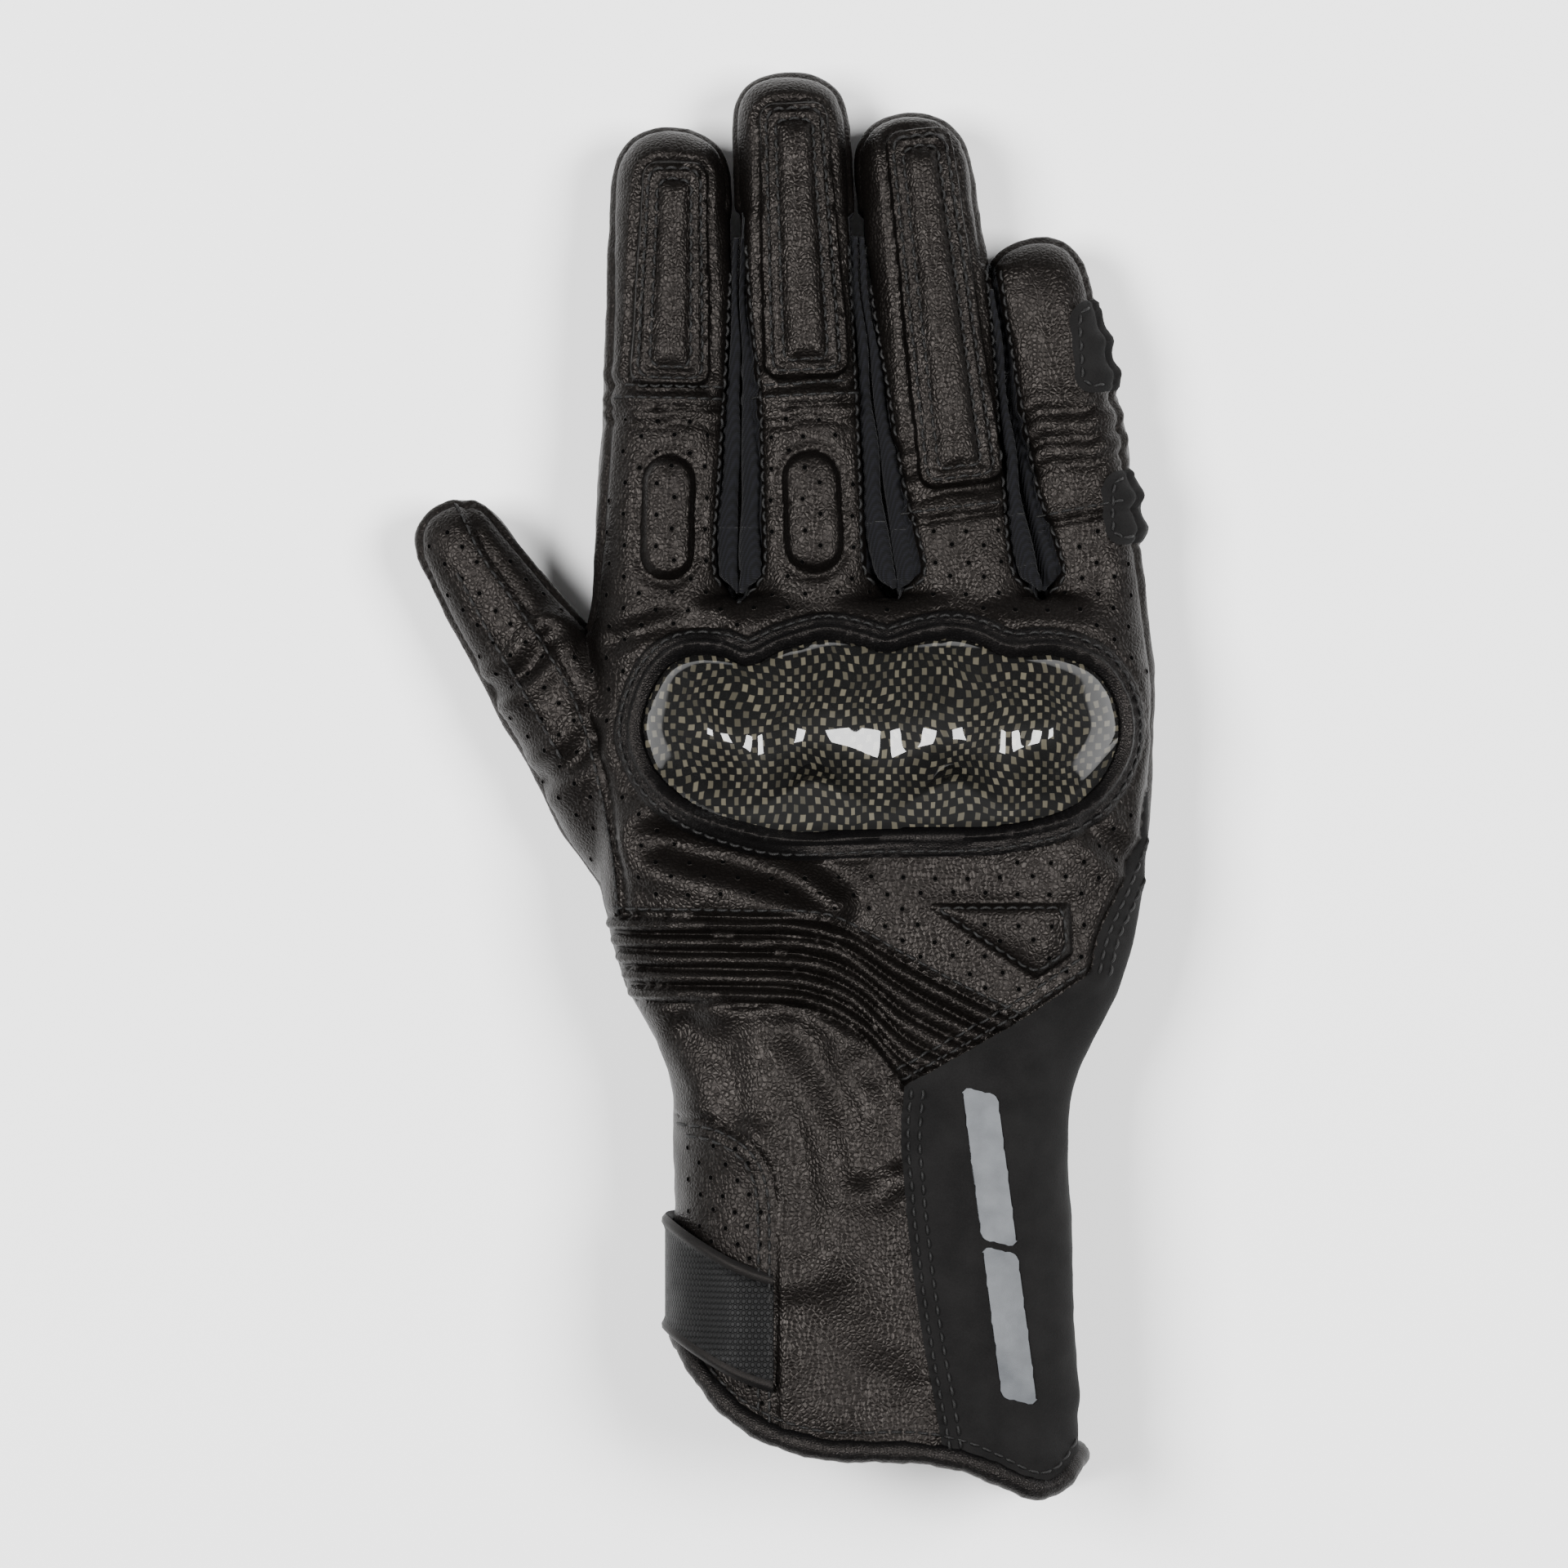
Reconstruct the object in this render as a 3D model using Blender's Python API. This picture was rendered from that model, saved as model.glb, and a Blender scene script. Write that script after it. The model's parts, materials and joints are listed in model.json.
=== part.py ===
"""A right-hand short-cuff leather motorcycle glove, lying palm down with its fingers straight.

+Y points to the middle fingertip, +X to the little finger and +Z out of the back of the hand. The origin is
the centre of the flat palm pad that the glove lies on. Leather, suede and textile panels are thin closed
shells around the space for the hand; each finger has a base stall and a tip stall, joined by soft sleeves.
"""

import math
from bisect import bisect_right

import bmesh
import bpy
from mathutils import Vector

MM = 0.001

# Driving dimensions, in millimetres. A station is (distance along the tube, centre offset to the little
# finger side, half width, underside height, top height).
LEATHER = 1.5
GAP = 0.35
FINGER_BASE_Y = 38.0
SLEEVE_LENGTH = 10.0
BASE_HINGE_FROM_BASE = 5.0
HINGE_ABOVE_UNDERSIDE = 5.0
SLEEVE_SET_IN = 0.4
TUBE_ANGLES = [22.5 * i for i in range(16)]
LINING_ANGLES = [18.0 * i for i in range(20)]

HAND_STATIONS = [
    (-124, 2.0, 34.0, 4.6, 42.0),
    (-105, 2.2, 34.0, 4.6, 43.0),
    (-90, 1.9, 33.9, 4.8, 43.0),
    (-75, 1.0, 34.4, 4.8, 43.0),
    (-60, 0.4, 34.4, 4.8, 42.0),
    (-47, 0.3, 35.0, 4.2, 40.0),
    (-38, 0.8, 38.6, 3.4, 38.5),
    (-28, 1.2, 43.0, 2.4, 37.5),
    (-15, 1.0, 46.3, 1.8, 37.0),
    (5, 0.4, 48.4, 1.8, 36.0),
    (25, 0.2, 49.3, 1.8, 33.0),
    (40, -0.5, 48.4, 1.8, 28.0),
]

# round_from is where the tip starts to round, hinge the second joint, neighbours the sides that meet a finger.
FINGERS = {
    "index": {
        "base": (-36.2, 38.0), "tip": (-34.0, 121.0), "round_from": 68.0, "hinge": 32.5,
        "stations": [(0, 0, 12.6, 1.8, 26.5), (20, 0.2, 12.0, 1.9, 26.0), (45, 0.0, 11.1, 2.2, 24.5),
                     (68, -0.2, 10.2, 2.8, 22.5), (83, -0.2, 9.8, 3.2, 21.5)],
        "neighbours": ("right",),
    },
    "middle": {
        "base": (-9.6, 38.0), "tip": (-14.2, 130.7), "round_from": 79.0, "hinge": 33.0,
        "stations": [(0, 0, 12.5, 1.8, 27.5), (22, 0.0, 11.8, 1.9, 27.0), (48, -0.4, 10.6, 2.2, 25.0),
                     (79, -0.6, 9.5, 2.8, 22.5), (92, -0.6, 9.3, 3.2, 21.5)],
        "neighbours": ("left", "right"),
    },
    "ring": {
        "base": (17.0, 38.0), "tip": (5.8, 123.3), "round_from": 71.0, "hinge": 27.0,
        "stations": [(0, 0, 12.8, 1.8, 27.0), (20, -0.6, 11.4, 1.9, 26.5), (45, -0.4, 10.8, 2.2, 24.5),
                     (71, 0.0, 9.9, 2.8, 22.5), (86, 0.0, 9.5, 3.2, 21.5)],
        "neighbours": ("left", "right"),
    },
    "little": {
        "base": (39.6, 38.0), "tip": (27.6, 101.5), "round_from": 50.0, "hinge": 24.5,
        "stations": [(0, 0, 8.6, 1.8, 24.0), (20, 0.4, 9.7, 1.9, 23.5), (38, 0.7, 9.6, 2.2, 22.0),
                     (50, 0.4, 8.9, 2.6, 20.5), (64, 0.0, 8.4, 3.0, 20.0)],
        "neighbours": ("left",),
    },
}
THUMB = {
    "base": (-48.9, 1.2), "tip": (-76.1, 54.6), "round_from": 50.0,
    "heel_from": -8.0, "web_hinge": 21.0, "hinge": 41.0,
    "stations": [(-14, 9.0, 11.0, 3.0, 25.0), (10, 5.5, 11.4, 2.6, 24.0), (31, 3.8, 10.3, 2.4, 22.5),
                 (44, 1.9, 8.9, 2.6, 20.5), (60, 0.2, 7.2, 3.4, 18.5)],
}

# Where each panel ends, as (x, y) in plan.
ACCORDION_TOP = [(-49, -16.5), (-20, -18.0), (-4, -20.5), (25, -35.0), (34, -36.0), (49, -31.0)]
ACCORDION_BOTTOM = [(-49, -33.5), (-20, -34.5), (-4, -37.5), (16, -46.5), (34, -46.0), (49, -43.0)]
HEM = [(-33, -92.0), (-29, -98.0), (-23, -105.0), (-12, -109.0), (12, -110.2), (20, -112.5), (30, -117.5),
       (37, -113.0)]
CUFF_SEAM_X = 9.0
VENT_CENTRE = (-22.5, -75.0)
VENT_HALF = (6.2, 20.0)
REFLECTIVE_OUTLINE = [(17.0, -90.0), (29.0, -86.0), (29.0, -70.0), (28.0, -54.0), (16.0, -58.0), (17.0, -74.0)]
BACK_PATCH_OUTLINE = [(13.5, -14.5), (31.0, -24.5), (36.0, -15.0), (35.0, -13.0), (24.0, -12.8)]
LINING_THICKNESS = 0.6
STRETCH_THICKNESS = 1.2
TEXTILE_THICKNESS = 1.0
ELASTIC_TOP = [(-49, -16.5), (-25, -18.5), (22, -20.5), (34, -33.0), (49, -31.0)]
ELASTIC_BOTTOM = [(-49, -33.5), (-36, -34.5), (-22, -40.5), (20, -41.5), (34, -46.0), (49, -43.0)]
WRIST_RIBS = 5
BINDING_RADIUS = 2.2
GUARD_CENTRE = (2.2, 15.0)
GUARD_HALF = (41.2, 16.2)
GUARD_THICKNESS = 1.6
PALM_PAD_HALF = (24.0, 16.0)
PALM_PAD_HEIGHT = 1.45
THUMB_CLEARANCE = 3.0

# The strap: its hinge is where it leaves the thumb side of the cuff and turns under the palm side.
STRAP_HINGE = (-32.6, -79.6, 6.4)
STRAP_WIDTH = 19.0
STRAP_SEWN_X = -17.5
STRAP_SEWN_Y = -87.5
STRAP_RISE = 17.5
TAIL_SLOPE = 0.2
TAIL_END_X = 14.0
TAIL_THICKNESS = 1.8
FASTENING_THICKNESS = 0.8


def clear_scene():
    for thing in list(bpy.data.objects):
        bpy.data.objects.remove(thing)


def principled(name, colour, roughness, metallic=0.0):
    """A plain material with this base colour, roughness and metallic value."""
    material = bpy.data.materials.new(name)
    material.use_nodes = True
    shader = material.node_tree.nodes["Principled BSDF"]
    shader.inputs["Base Color"].default_value = (*colour, 1.0)
    shader.inputs["Roughness"].default_value = roughness
    shader.inputs["Metallic"].default_value = metallic
    return material


def between(points, x):
    """The height at x of a line through (x, y) points, level past its ends."""
    if x <= points[0][0]:
        return points[0][1]
    for (x0, y0), (x1, y1) in zip(points, points[1:]):
        if x <= x1:
            return y0 + (y1 - y0) * (x - x0) / (x1 - x0)
    return points[-1][1]


def crossing(tube, degrees, line):
    """How far along the tube this angle meets a plan line, which gives y for an x."""
    s = line(0.0)
    for _ in range(8):
        s = line(tube.point(s, degrees).x)
    return s


def signed_power(value, power):
    return math.copysign(abs(value) ** power, value)


def spread(start, end, count):
    return [start + (end - start) * i / (count - 1) for i in range(count)]


class Tube:
    """A stall or the hand: superellipse sections along a level axis, in millimetres."""

    def __init__(self, base, tip, stations, round_from=None, crown=2.4, belly=3.0):
        self.base = Vector((*base, 0.0))
        axis = Vector((*tip, 0.0)) - self.base
        self.length = axis.length
        self.along = axis.normalized()
        self.right = Vector((self.along.y, -self.along.x, 0.0))
        self.stations = stations
        self.round_from = round_from
        self.crown, self.belly = crown, belly

    def station(self, s):
        """(centre offset, half width, underside, top) at distance s, on a smooth curve through the stations."""
        keys = [row[0] for row in self.stations]
        i = min(max(bisect_right(keys, s) - 1, 0), len(keys) - 2)
        span = keys[i + 1] - keys[i]
        t = min(max((s - keys[i]) / span, 0.0), 1.0)
        rows = [self.stations[min(max(k, 0), len(keys) - 1)] for k in (i - 1, i, i + 1, i + 2)]
        result = []
        for before, start, end, after in list(zip(*rows))[1:]:
            slope_0 = (end - before) / (keys[i + 1] - rows[0][0]) * span
            slope_1 = (after - start) / (rows[3][0] - keys[i]) * span
            t2, t3 = t * t, t * t * t
            result.append(start * (2 * t3 - 3 * t2 + 1) + slope_0 * (t3 - 2 * t2 + t)
                          + end * (3 * t2 - 2 * t3) + slope_1 * (t3 - t2))
        return result

    def section(self, s):
        """(centre offset, half width, centre height, half height), closing to a point at a rounded tip."""
        offset, half_width, low, high = self.station(s)
        shrink = 1.0
        if self.round_from is not None and s > self.round_from:
            t = min((s - self.round_from) / (self.length - self.round_from), 1.0)
            shrink = math.sqrt(max(1.0 - t ** 2.4, 0.0))
        return offset, half_width * shrink, (low + high) / 2, (high - low) / 2 * shrink

    def point(self, s, degrees, out=0.0):
        """A point on the surface: 0 degrees is the right side, 90 the top. out moves it off the surface."""
        offset, half_width, middle, half_height = self.section(s)
        c, n = math.cos(math.radians(degrees)), math.sin(math.radians(degrees))
        power = 2.0 / (self.crown if n > 0 else self.belly)
        across = offset + (half_width + out) * signed_power(c, power)
        height = middle + (half_height + out) * signed_power(n, power)
        return self.base + self.along * s + self.right * across + Vector((0, 0, height))

    def local(self, x, y):
        """(distance along, distance to the right) of a plan point."""
        away = Vector((x, y, 0.0)) - self.base
        return away.dot(self.along), away.dot(self.right)

    def top(self, x, y):
        """Height of the upper surface over a plan point."""
        s, across = self.local(x, y)
        offset, half_width, middle, half_height = self.section(s)
        share = min(abs(across - offset) / half_width, 0.999)
        return middle + half_height * (1 - share ** self.crown) ** (1 / self.crown)

    def degrees_at(self, s, across):
        """The angle on the upper surface whose point stands at this distance to the right of the axis."""
        offset, half_width = self.section(s)[:2]
        share = max(min((across - offset) / half_width, 1.0), -1.0)
        return math.degrees(math.acos(signed_power(share, self.crown / 2.0)))


def add_object(name, mesh, material, sharp_degrees=40):
    thing = bpy.data.objects.new(name, mesh)
    bpy.context.scene.collection.objects.link(thing)
    mesh.materials.append(material)
    mesh.shade_smooth()
    mesh.set_sharp_from_angle(angle=math.radians(sharp_degrees))
    return thing


def surface_mesh(name, rows, ring=False):
    """A grid of quads through rows of points in millimetres; ring joins the last column to the first."""
    bm = bmesh.new()
    grid = [[bm.verts.new(Vector(p) * MM) for p in row] for row in rows]
    columns = len(rows[0])
    for lower, upper in zip(grid, grid[1:]):
        for j in range(columns if ring else columns - 1):
            k = (j + 1) % columns
            bm.faces.new((lower[j], upper[j], upper[k], lower[k]))
    bmesh.ops.remove_doubles(bm, verts=bm.verts, dist=0.001 * MM)
    mesh = bpy.data.meshes.new(name)
    bm.to_mesh(mesh)
    bm.free()
    return mesh


def shell(name, rows, material, thickness=LEATHER, ring=False, lift=0.0):
    """A panel of even thickness whose outer face runs through rows of points."""
    thing = add_object(name, surface_mesh(name, rows, ring), material)
    solidify = thing.modifiers.new("thickness", "SOLIDIFY")
    solidify.thickness = thickness * MM
    solidify.offset = -1.0
    solidify.use_even_offset = True
    solidify.use_quality_normals = True
    thing.location.z = lift * MM
    return thing


def tube_rows(tube, lengths, out=0.0, angles=TUBE_ANGLES):
    return [[tube.point(s, a, out) for a in angles] for s in lengths]


def plan_rows(tube, angles, lower, upper, count=6, out=None):
    """Rows between two plan lines; out gives how far each row's share of the way stands off the surface."""
    columns = []
    for a in angles:
        low, high = crossing(tube, a, lower), crossing(tube, a, upper)
        shares = spread(0.0, 1.0, count)
        columns.append([tube.point(low + (high - low) * t, a, out(t) if out else 0.0) for t in shares])
    return [list(row) for row in zip(*columns)]


def disc_rows(outline, height, rings):
    """Rings of points from the outline in to its middle; height gives z from x, y and the share of the radius."""
    middle = Vector((sum(p[0] for p in outline), sum(p[1] for p in outline))) / len(outline)
    rows = []
    for share in spread(1.0, 0.0, rings):
        flat = [middle.lerp(Vector(p), share) for p in outline]
        rows.append([(p.x, p.y, height(p.x, p.y, share)) for p in flat])
    return rows


def pad(name, outline, top, bottom, material, rings=4):
    """A closed pad between two heights over a plan outline, which runs anticlockwise."""
    upper = disc_rows(outline, top, rings)
    lower = disc_rows(outline, bottom, rings)
    rows = list(reversed(lower)) + upper
    return add_object(name, surface_mesh(name, [list(reversed(row)) for row in rows], ring=True), material)


def ring_pad(name, inner, outer, top, bottom, material):
    """A closed ring between two plan outlines with the same number of points."""
    rows = []
    for share, height in ((0.0, bottom), (0.0, top), (0.5, top), (1.0, top), (1.0, bottom), (0.5, bottom)):
        flat = [Vector(a).lerp(Vector(b), share) for a, b in zip(inner, outer)]
        rows.append([(p.x, p.y, height(p.x, p.y, share)) for p in flat])
    rows.append(rows[0])
    return add_object(name, surface_mesh(name, rows, ring=True), material)


def oval(centre, half, count, power=2.0, turn=0.0):
    """Points anticlockwise around a superellipse, turned by an angle in degrees."""
    points = []
    for i in range(count):
        a = 2 * math.pi * i / count
        x = half[0] * signed_power(math.cos(a), 2 / power)
        y = half[1] * signed_power(math.sin(a), 2 / power)
        c, n = math.cos(math.radians(turn)), math.sin(math.radians(turn))
        points.append((centre[0] + x * c - y * n, centre[1] + x * n + y * c))
    return points


def cut(target, cutter):
    boolean = target.modifiers.new("opening", "BOOLEAN")
    boolean.operation = "DIFFERENCE"
    boolean.object = cutter


def hidden_solid(name, rows, material):
    """A capped ring of rows, used only to cut other pieces."""
    thing = add_object(name, surface_mesh(name, rows, ring=True), material)
    bm = bmesh.new()
    bm.from_mesh(thing.data)
    bmesh.ops.holes_fill(bm, edges=bm.edges)
    bmesh.ops.recalc_face_normals(bm, faces=bm.faces)
    bm.to_mesh(thing.data)
    bm.free()
    thing.hide_render = True
    thing.display_type = "WIRE"
    return thing


def joint_empty(name, tube, s):
    """An empty on a stall's hinge axis, for the pieces past it."""
    empty = bpy.data.objects.new(name, None)
    point = tube.base + tube.along * s
    point.z = tube.station(s)[2] + HINGE_ABOVE_UNDERSIDE
    empty.location = point * MM
    bpy.context.scene.collection.objects.link(empty)
    return empty


def hang(things, empty):
    """Parents pieces to an empty without moving them."""
    for thing in things:
        thing.parent = empty
        thing.matrix_parent_inverse = empty.matrix_basis.inverted()


def edge_degrees(finger, side, s, tube):
    """Half the angle that a side strip takes up at s: it tapers to the tip."""
    if side not in finger["neighbours"]:
        return 0.0
    return 26.0 * (1 - s / tube.length) + 5.0


def make_finger(name, finger, leather, textile):
    """One finger: base sleeve, base stall, joint sleeve, tip stall in two halves, and its side strips."""
    tube = Tube(finger["base"], finger["tip"], finger["stations"], finger["round_from"])
    half_sleeve = SLEEVE_LENGTH / 2
    first, second = BASE_HINGE_FROM_BASE, finger["hinge"]
    web_rows = tube_rows(tube, (first - half_sleeve / 2, first + half_sleeve), -SLEEVE_SET_IN)
    shell(f"{name}_web_sleeve", web_rows, textile, ring=True)
    base_rows = tube_rows(tube, spread(first + half_sleeve + GAP, second - half_sleeve - GAP, 3))
    base_stall = shell(f"{name}_base_stall", base_rows, leather, ring=True)
    joint_rows = tube_rows(tube, (second - half_sleeve, second + half_sleeve), -SLEEVE_SET_IN)
    joint_sleeve = shell(f"{name}_joint_sleeve", joint_rows, textile, ring=True)
    tip_from = second + half_sleeve + GAP

    lengths = spread(tip_from, finger["round_from"], 3)
    round_length = tube.length - finger["round_from"]
    lengths += [finger["round_from"] + round_length * t for t in (0.45, 0.8, 1.0)]
    halves = []
    for half, (start, end), lift in (("back", (0.0, 180.0), 0.3), ("palm", (180.0, 360.0), -0.3)):
        rows = []
        for s in lengths:
            right = edge_degrees(finger, "right", s, tube)
            left = edge_degrees(finger, "left", s, tube)
            begin, finish = (start + right, end - left) if half == "back" else (start + left, end - right)
            rows.append([tube.point(s, a) for a in spread(begin, finish, 8)])
        halves.append(shell(f"{name}_tip_{half}", rows, leather, lift=lift))
    strips = []
    strip_lengths = spread(tip_from, finger["round_from"], 4)
    for side, centre in (("right", 0.0), ("left", 180.0)):
        if side in finger["neighbours"]:
            rows = []
            for s in strip_lengths:
                half_angle = edge_degrees(finger, side, s, tube) - 2.4
                rows.append([tube.point(s, a) for a in spread(centre - half_angle, centre + half_angle, 4)])
            strips.append(shell(f"{name}_fourchette_{side}", rows, textile, thickness=TEXTILE_THICKNESS))
    hang([base_stall, joint_sleeve], joint_empty(f"{name}_base_axis", tube, first))
    hang(halves + strips, joint_empty(f"{name}_joint_axis", tube, second))
    return tube


def finger_pad(name, tube, start, end, half_width, height, material, power=4.0):
    """A padded patch on the back of a finger, from start to end along it."""
    middle = tube.base + tube.along * ((start + end) / 2) + tube.right * tube.station((start + end) / 2)[0]
    turn = math.degrees(math.atan2(tube.along.y, tube.along.x)) - 90
    outline = oval((middle.x, middle.y), (half_width, (end - start) / 2), 16, power, turn)

    def top(x, y, share):
        return tube.top(x, y) + 0.9 + height * (1 - share ** 4 * 0.6)

    def bottom(x, y, share):
        return tube.top(x, y) + 0.9

    return pad(name, outline, top, bottom, material, rings=3)


def side_patch(name, tube, start, end, low, high, material):
    """A thin patch wrapped round the outer side of the little finger."""
    rows = [[tube.point(s, a, GAP + 1.3) for a in spread(low, high, 6)] for s in spread(start, end, 5)]
    return shell(name, rows, material, thickness=1.3)


def make_thumb(leather, textile):
    """The thumb: a heel open to the hand, a web sleeve, a base stall, a joint sleeve and a tip stall."""
    tube = Tube(THUMB["base"], THUMB["tip"], THUMB["stations"], THUMB["round_from"])
    half_sleeve = SLEEVE_LENGTH / 2
    first, second = THUMB["web_hinge"], THUMB["hinge"]
    heel_rows = tube_rows(tube, spread(THUMB["heel_from"], first - half_sleeve - GAP, 5))
    heel = shell("thumb_heel_panel", heel_rows, leather, ring=True)
    web_rows = tube_rows(tube, (first - half_sleeve, first + half_sleeve), -SLEEVE_SET_IN)
    web = shell("thumb_web_sleeve", web_rows, textile, ring=True)
    base_rows = tube_rows(tube, spread(first + half_sleeve + GAP, second - half_sleeve - GAP, 3))
    base = shell("thumb_base_stall", base_rows, leather, ring=True)
    joint_rows = tube_rows(tube, (second - half_sleeve, second + half_sleeve), -SLEEVE_SET_IN)
    sleeve = shell("thumb_joint_sleeve", joint_rows, textile, ring=True)
    lengths = spread(second + half_sleeve + GAP, THUMB["round_from"], 2)
    round_length = tube.length - THUMB["round_from"]
    lengths += [THUMB["round_from"] + round_length * t for t in (0.45, 0.8, 1.0)]
    tip = shell("thumb_tip_stall", tube_rows(tube, lengths), leather, ring=True)
    hang([base, sleeve], joint_empty("thumb_base_axis", tube, first))
    hang([tip], joint_empty("thumb_joint_axis", tube, second))
    return tube, heel, web, base


def make_hand(hand, leather, suede, lining):
    """The palm and back of the hand, open at the thumb, the fingers and the wrist."""
    def top_edge(x):
        return FINGER_BASE_Y - 1.2

    def back_edge(x):
        return between(ACCORDION_TOP, x) + GAP

    def palm_edge(x):
        return between(ELASTIC_TOP, x) + GAP

    back_rows = plan_rows(hand, spread(6.0, 180.0, 21), back_edge, top_edge)
    palm_rows = plan_rows(hand, spread(180.8, 331.0, 17), palm_edge, top_edge)
    back = shell("back_hand_panel", back_rows, leather)
    palm = shell("palm_panel", palm_rows, leather)
    shell("ulnar_side_panel", plan_rows(hand, spread(-26.0, 3.2, 6), palm_edge, top_edge), suede)
    lining_rows = tube_rows(hand, spread(-17.0, 30.0, 4), -LEATHER - 0.9, LINING_ANGLES)
    liner = shell("hand_lining", lining_rows, lining, thickness=LINING_THICKNESS, ring=True)
    return back, palm, liner


def make_wrist(hand, leather, textile):
    """The corrugated stretch panel on the back of the wrist, and the gathered elastic round its palm side."""
    def swell(t):
        return 0.2 + 0.6 * (1 - math.cos(2 * math.pi * WRIST_RIBS * t))

    def below(x):
        return between(ACCORDION_BOTTOM, x) + GAP

    def above(x):
        return between(ACCORDION_TOP, x) - GAP

    rib_rows = plan_rows(hand, spread(22.0, 170.0, 11), below, above, WRIST_RIBS * 2 + 1, swell)
    shell("accordion_panel", rib_rows, leather, thickness=STRETCH_THICKNESS)

    def palm_below(x):
        return between(ELASTIC_BOTTOM, x) + GAP

    def palm_above(x):
        return between(ELASTIC_TOP, x) - GAP

    def set_in(t):
        return -0.3

    elastic_rows = [left + underneath + right for left, underneath, right in zip(
        plan_rows(hand, (173.5, 177.0), below, above, 4, set_in),
        plan_rows(hand, spread(181.0, 359.0, 17), palm_below, palm_above, 4, set_in),
        plan_rows(hand, (363.0, 370.0, 378.0), below, above, 4, set_in))]
    shell("wrist_elastic", elastic_rows, textile, thickness=STRETCH_THICKNESS)


def hem_edge(x):
    return between(HEM, x)


def make_cuff(hand, leather, suede, binding_leather, lining):
    """The short cuff: back, ulnar and palm panels, vent panel, lining and the binding round the hem."""
    seam_degrees = hand.degrees_at(-80.0, CUFF_SEAM_X)

    def lower(x):
        return hem_edge(x) + BINDING_RADIUS + 1.4

    def back_top(x):
        return between(ACCORDION_BOTTOM, x) - GAP

    def palm_top(x):
        return between(ELASTIC_BOTTOM, x) - GAP

    shell("cuff_back_panel", plan_rows(hand, spread(seam_degrees + 0.6, 180.0, 13), lower, back_top), leather)
    shell("cuff_ulnar_panel", plan_rows(hand, spread(0.5, seam_degrees, 10), lower, back_top), suede)
    shell("cuff_palm_panel", plan_rows(hand, spread(180.8, 359.5, 17), lower, palm_top), leather)
    lining_rows = tube_rows(hand, spread(-90.0, -48.0, 3), -LEATHER - 0.5, LINING_ANGLES)
    shell("cuff_lining", lining_rows, lining, thickness=LINING_THICKNESS, ring=True)

    vent_outline = oval(VENT_CENTRE, VENT_HALF, 20, 3.0)
    pad("cuff_vent_panel", vent_outline, lambda x, y, share: hand.top(x, y) + GAP + 0.8,
        lambda x, y, share: hand.top(x, y) + GAP, leather, rings=3)

    curve = bpy.data.curves.new("cuff_binding", "CURVE")
    curve.dimensions = "3D"
    curve.bevel_depth = BINDING_RADIUS * MM
    curve.bevel_resolution = 1
    angles = spread(0.0, 360.0, 37)[:-1]
    spline = curve.splines.new("POLY")
    spline.points.add(len(angles) - 1)
    for spot, a in zip(spline.points, angles):
        spot.co = (*(hand.point(crossing(hand, a, hem_edge), a, -1.0) * MM), 1.0)
    spline.use_cyclic_u = True
    binding = bpy.data.objects.new("cuff_binding", curve)
    curve.materials.append(binding_leather)
    bpy.context.scene.collection.objects.link(binding)


def make_reflective_trim(hand, material):
    """A thin slanting strip of reflective film on the ulnar side of the cuff."""
    pad("reflective_trim", REFLECTIVE_OUTLINE, lambda x, y, share: hand.top(x, y) + 1.9,
        lambda x, y, share: hand.top(x, y) + 1.4, material, rings=4)


def flat_strip(name, low, thickness, x_from, x_to, material, narrow):
    """A level strip of the strap or of its fastening, under the palm side of the cuff."""
    half = STRAP_WIDTH / 2 - narrow
    outline = [(x_from, -half), (x_to - 4, -half), (x_to, 4 - half)]
    outline += [(x_to, half - 4), (x_to - 4, half), (x_from, half)]
    outline = [(x, y + STRAP_HINGE[1] + TAIL_SLOPE * (x - STRAP_HINGE[0])) for x, y in outline]
    return pad(name, outline, lambda x, y, share: low + thickness, lambda x, y, share: low, material, rings=2)


def make_strap(hand, rubber, fastening):
    """The moulded strap: sewn to the back of the cuff, round its thumb side, and peeling off the palm side."""
    start, end = hand.degrees_at(STRAP_SEWN_Y, STRAP_SEWN_X), 206.0
    rows = []
    for across in spread(-0.5, 0.5, 3):
        row = []
        for share in spread(0.0, 1.0, 9):
            y = STRAP_SEWN_Y + STRAP_RISE * 0.45 * share + STRAP_WIDTH * across
            out = 3.4 + 1.6 * math.sin(math.pi * share)
            row.append(hand.point(y, start + (end - start) * share, out))
        rows.append(row)
    shell("strap_anchor", rows, rubber, thickness=1.6)

    hinge_x = STRAP_HINGE[0]
    tail = flat_strip("strap_tail", 0.0, TAIL_THICKNESS, hinge_x + 3.0, TAIL_END_X, rubber, 0.0)
    hooks = flat_strip("hook_patch", TAIL_THICKNESS + GAP, FASTENING_THICKNESS, -22.0, 12.0, fastening, 2.0)
    loop_low = TAIL_THICKNESS + FASTENING_THICKNESS + GAP * 3
    flat_strip("loop_patch", loop_low, FASTENING_THICKNESS, -22.0, 16.0, fastening, 1.0)
    axis = bpy.data.objects.new("strap_axis", None)
    axis.location = Vector(STRAP_HINGE) * MM
    bpy.context.scene.collection.objects.link(axis)
    hang([tail, hooks], axis)


def guard_outline(grow=0.0, count=32):
    """Outline of the knuckle guard: a long rounded shape with a scalloped front edge over the knuckles."""
    points = []
    for x, y in oval(GUARD_CENTRE, (GUARD_HALF[0] + grow, GUARD_HALF[1] + grow), count, 3.2):
        if y > GUARD_CENTRE[1] + 4:
            y += 0.9 * math.cos((x - GUARD_CENTRE[0]) * math.pi / 10.3) - 0.4
        points.append((x, y))
    return points


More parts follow.
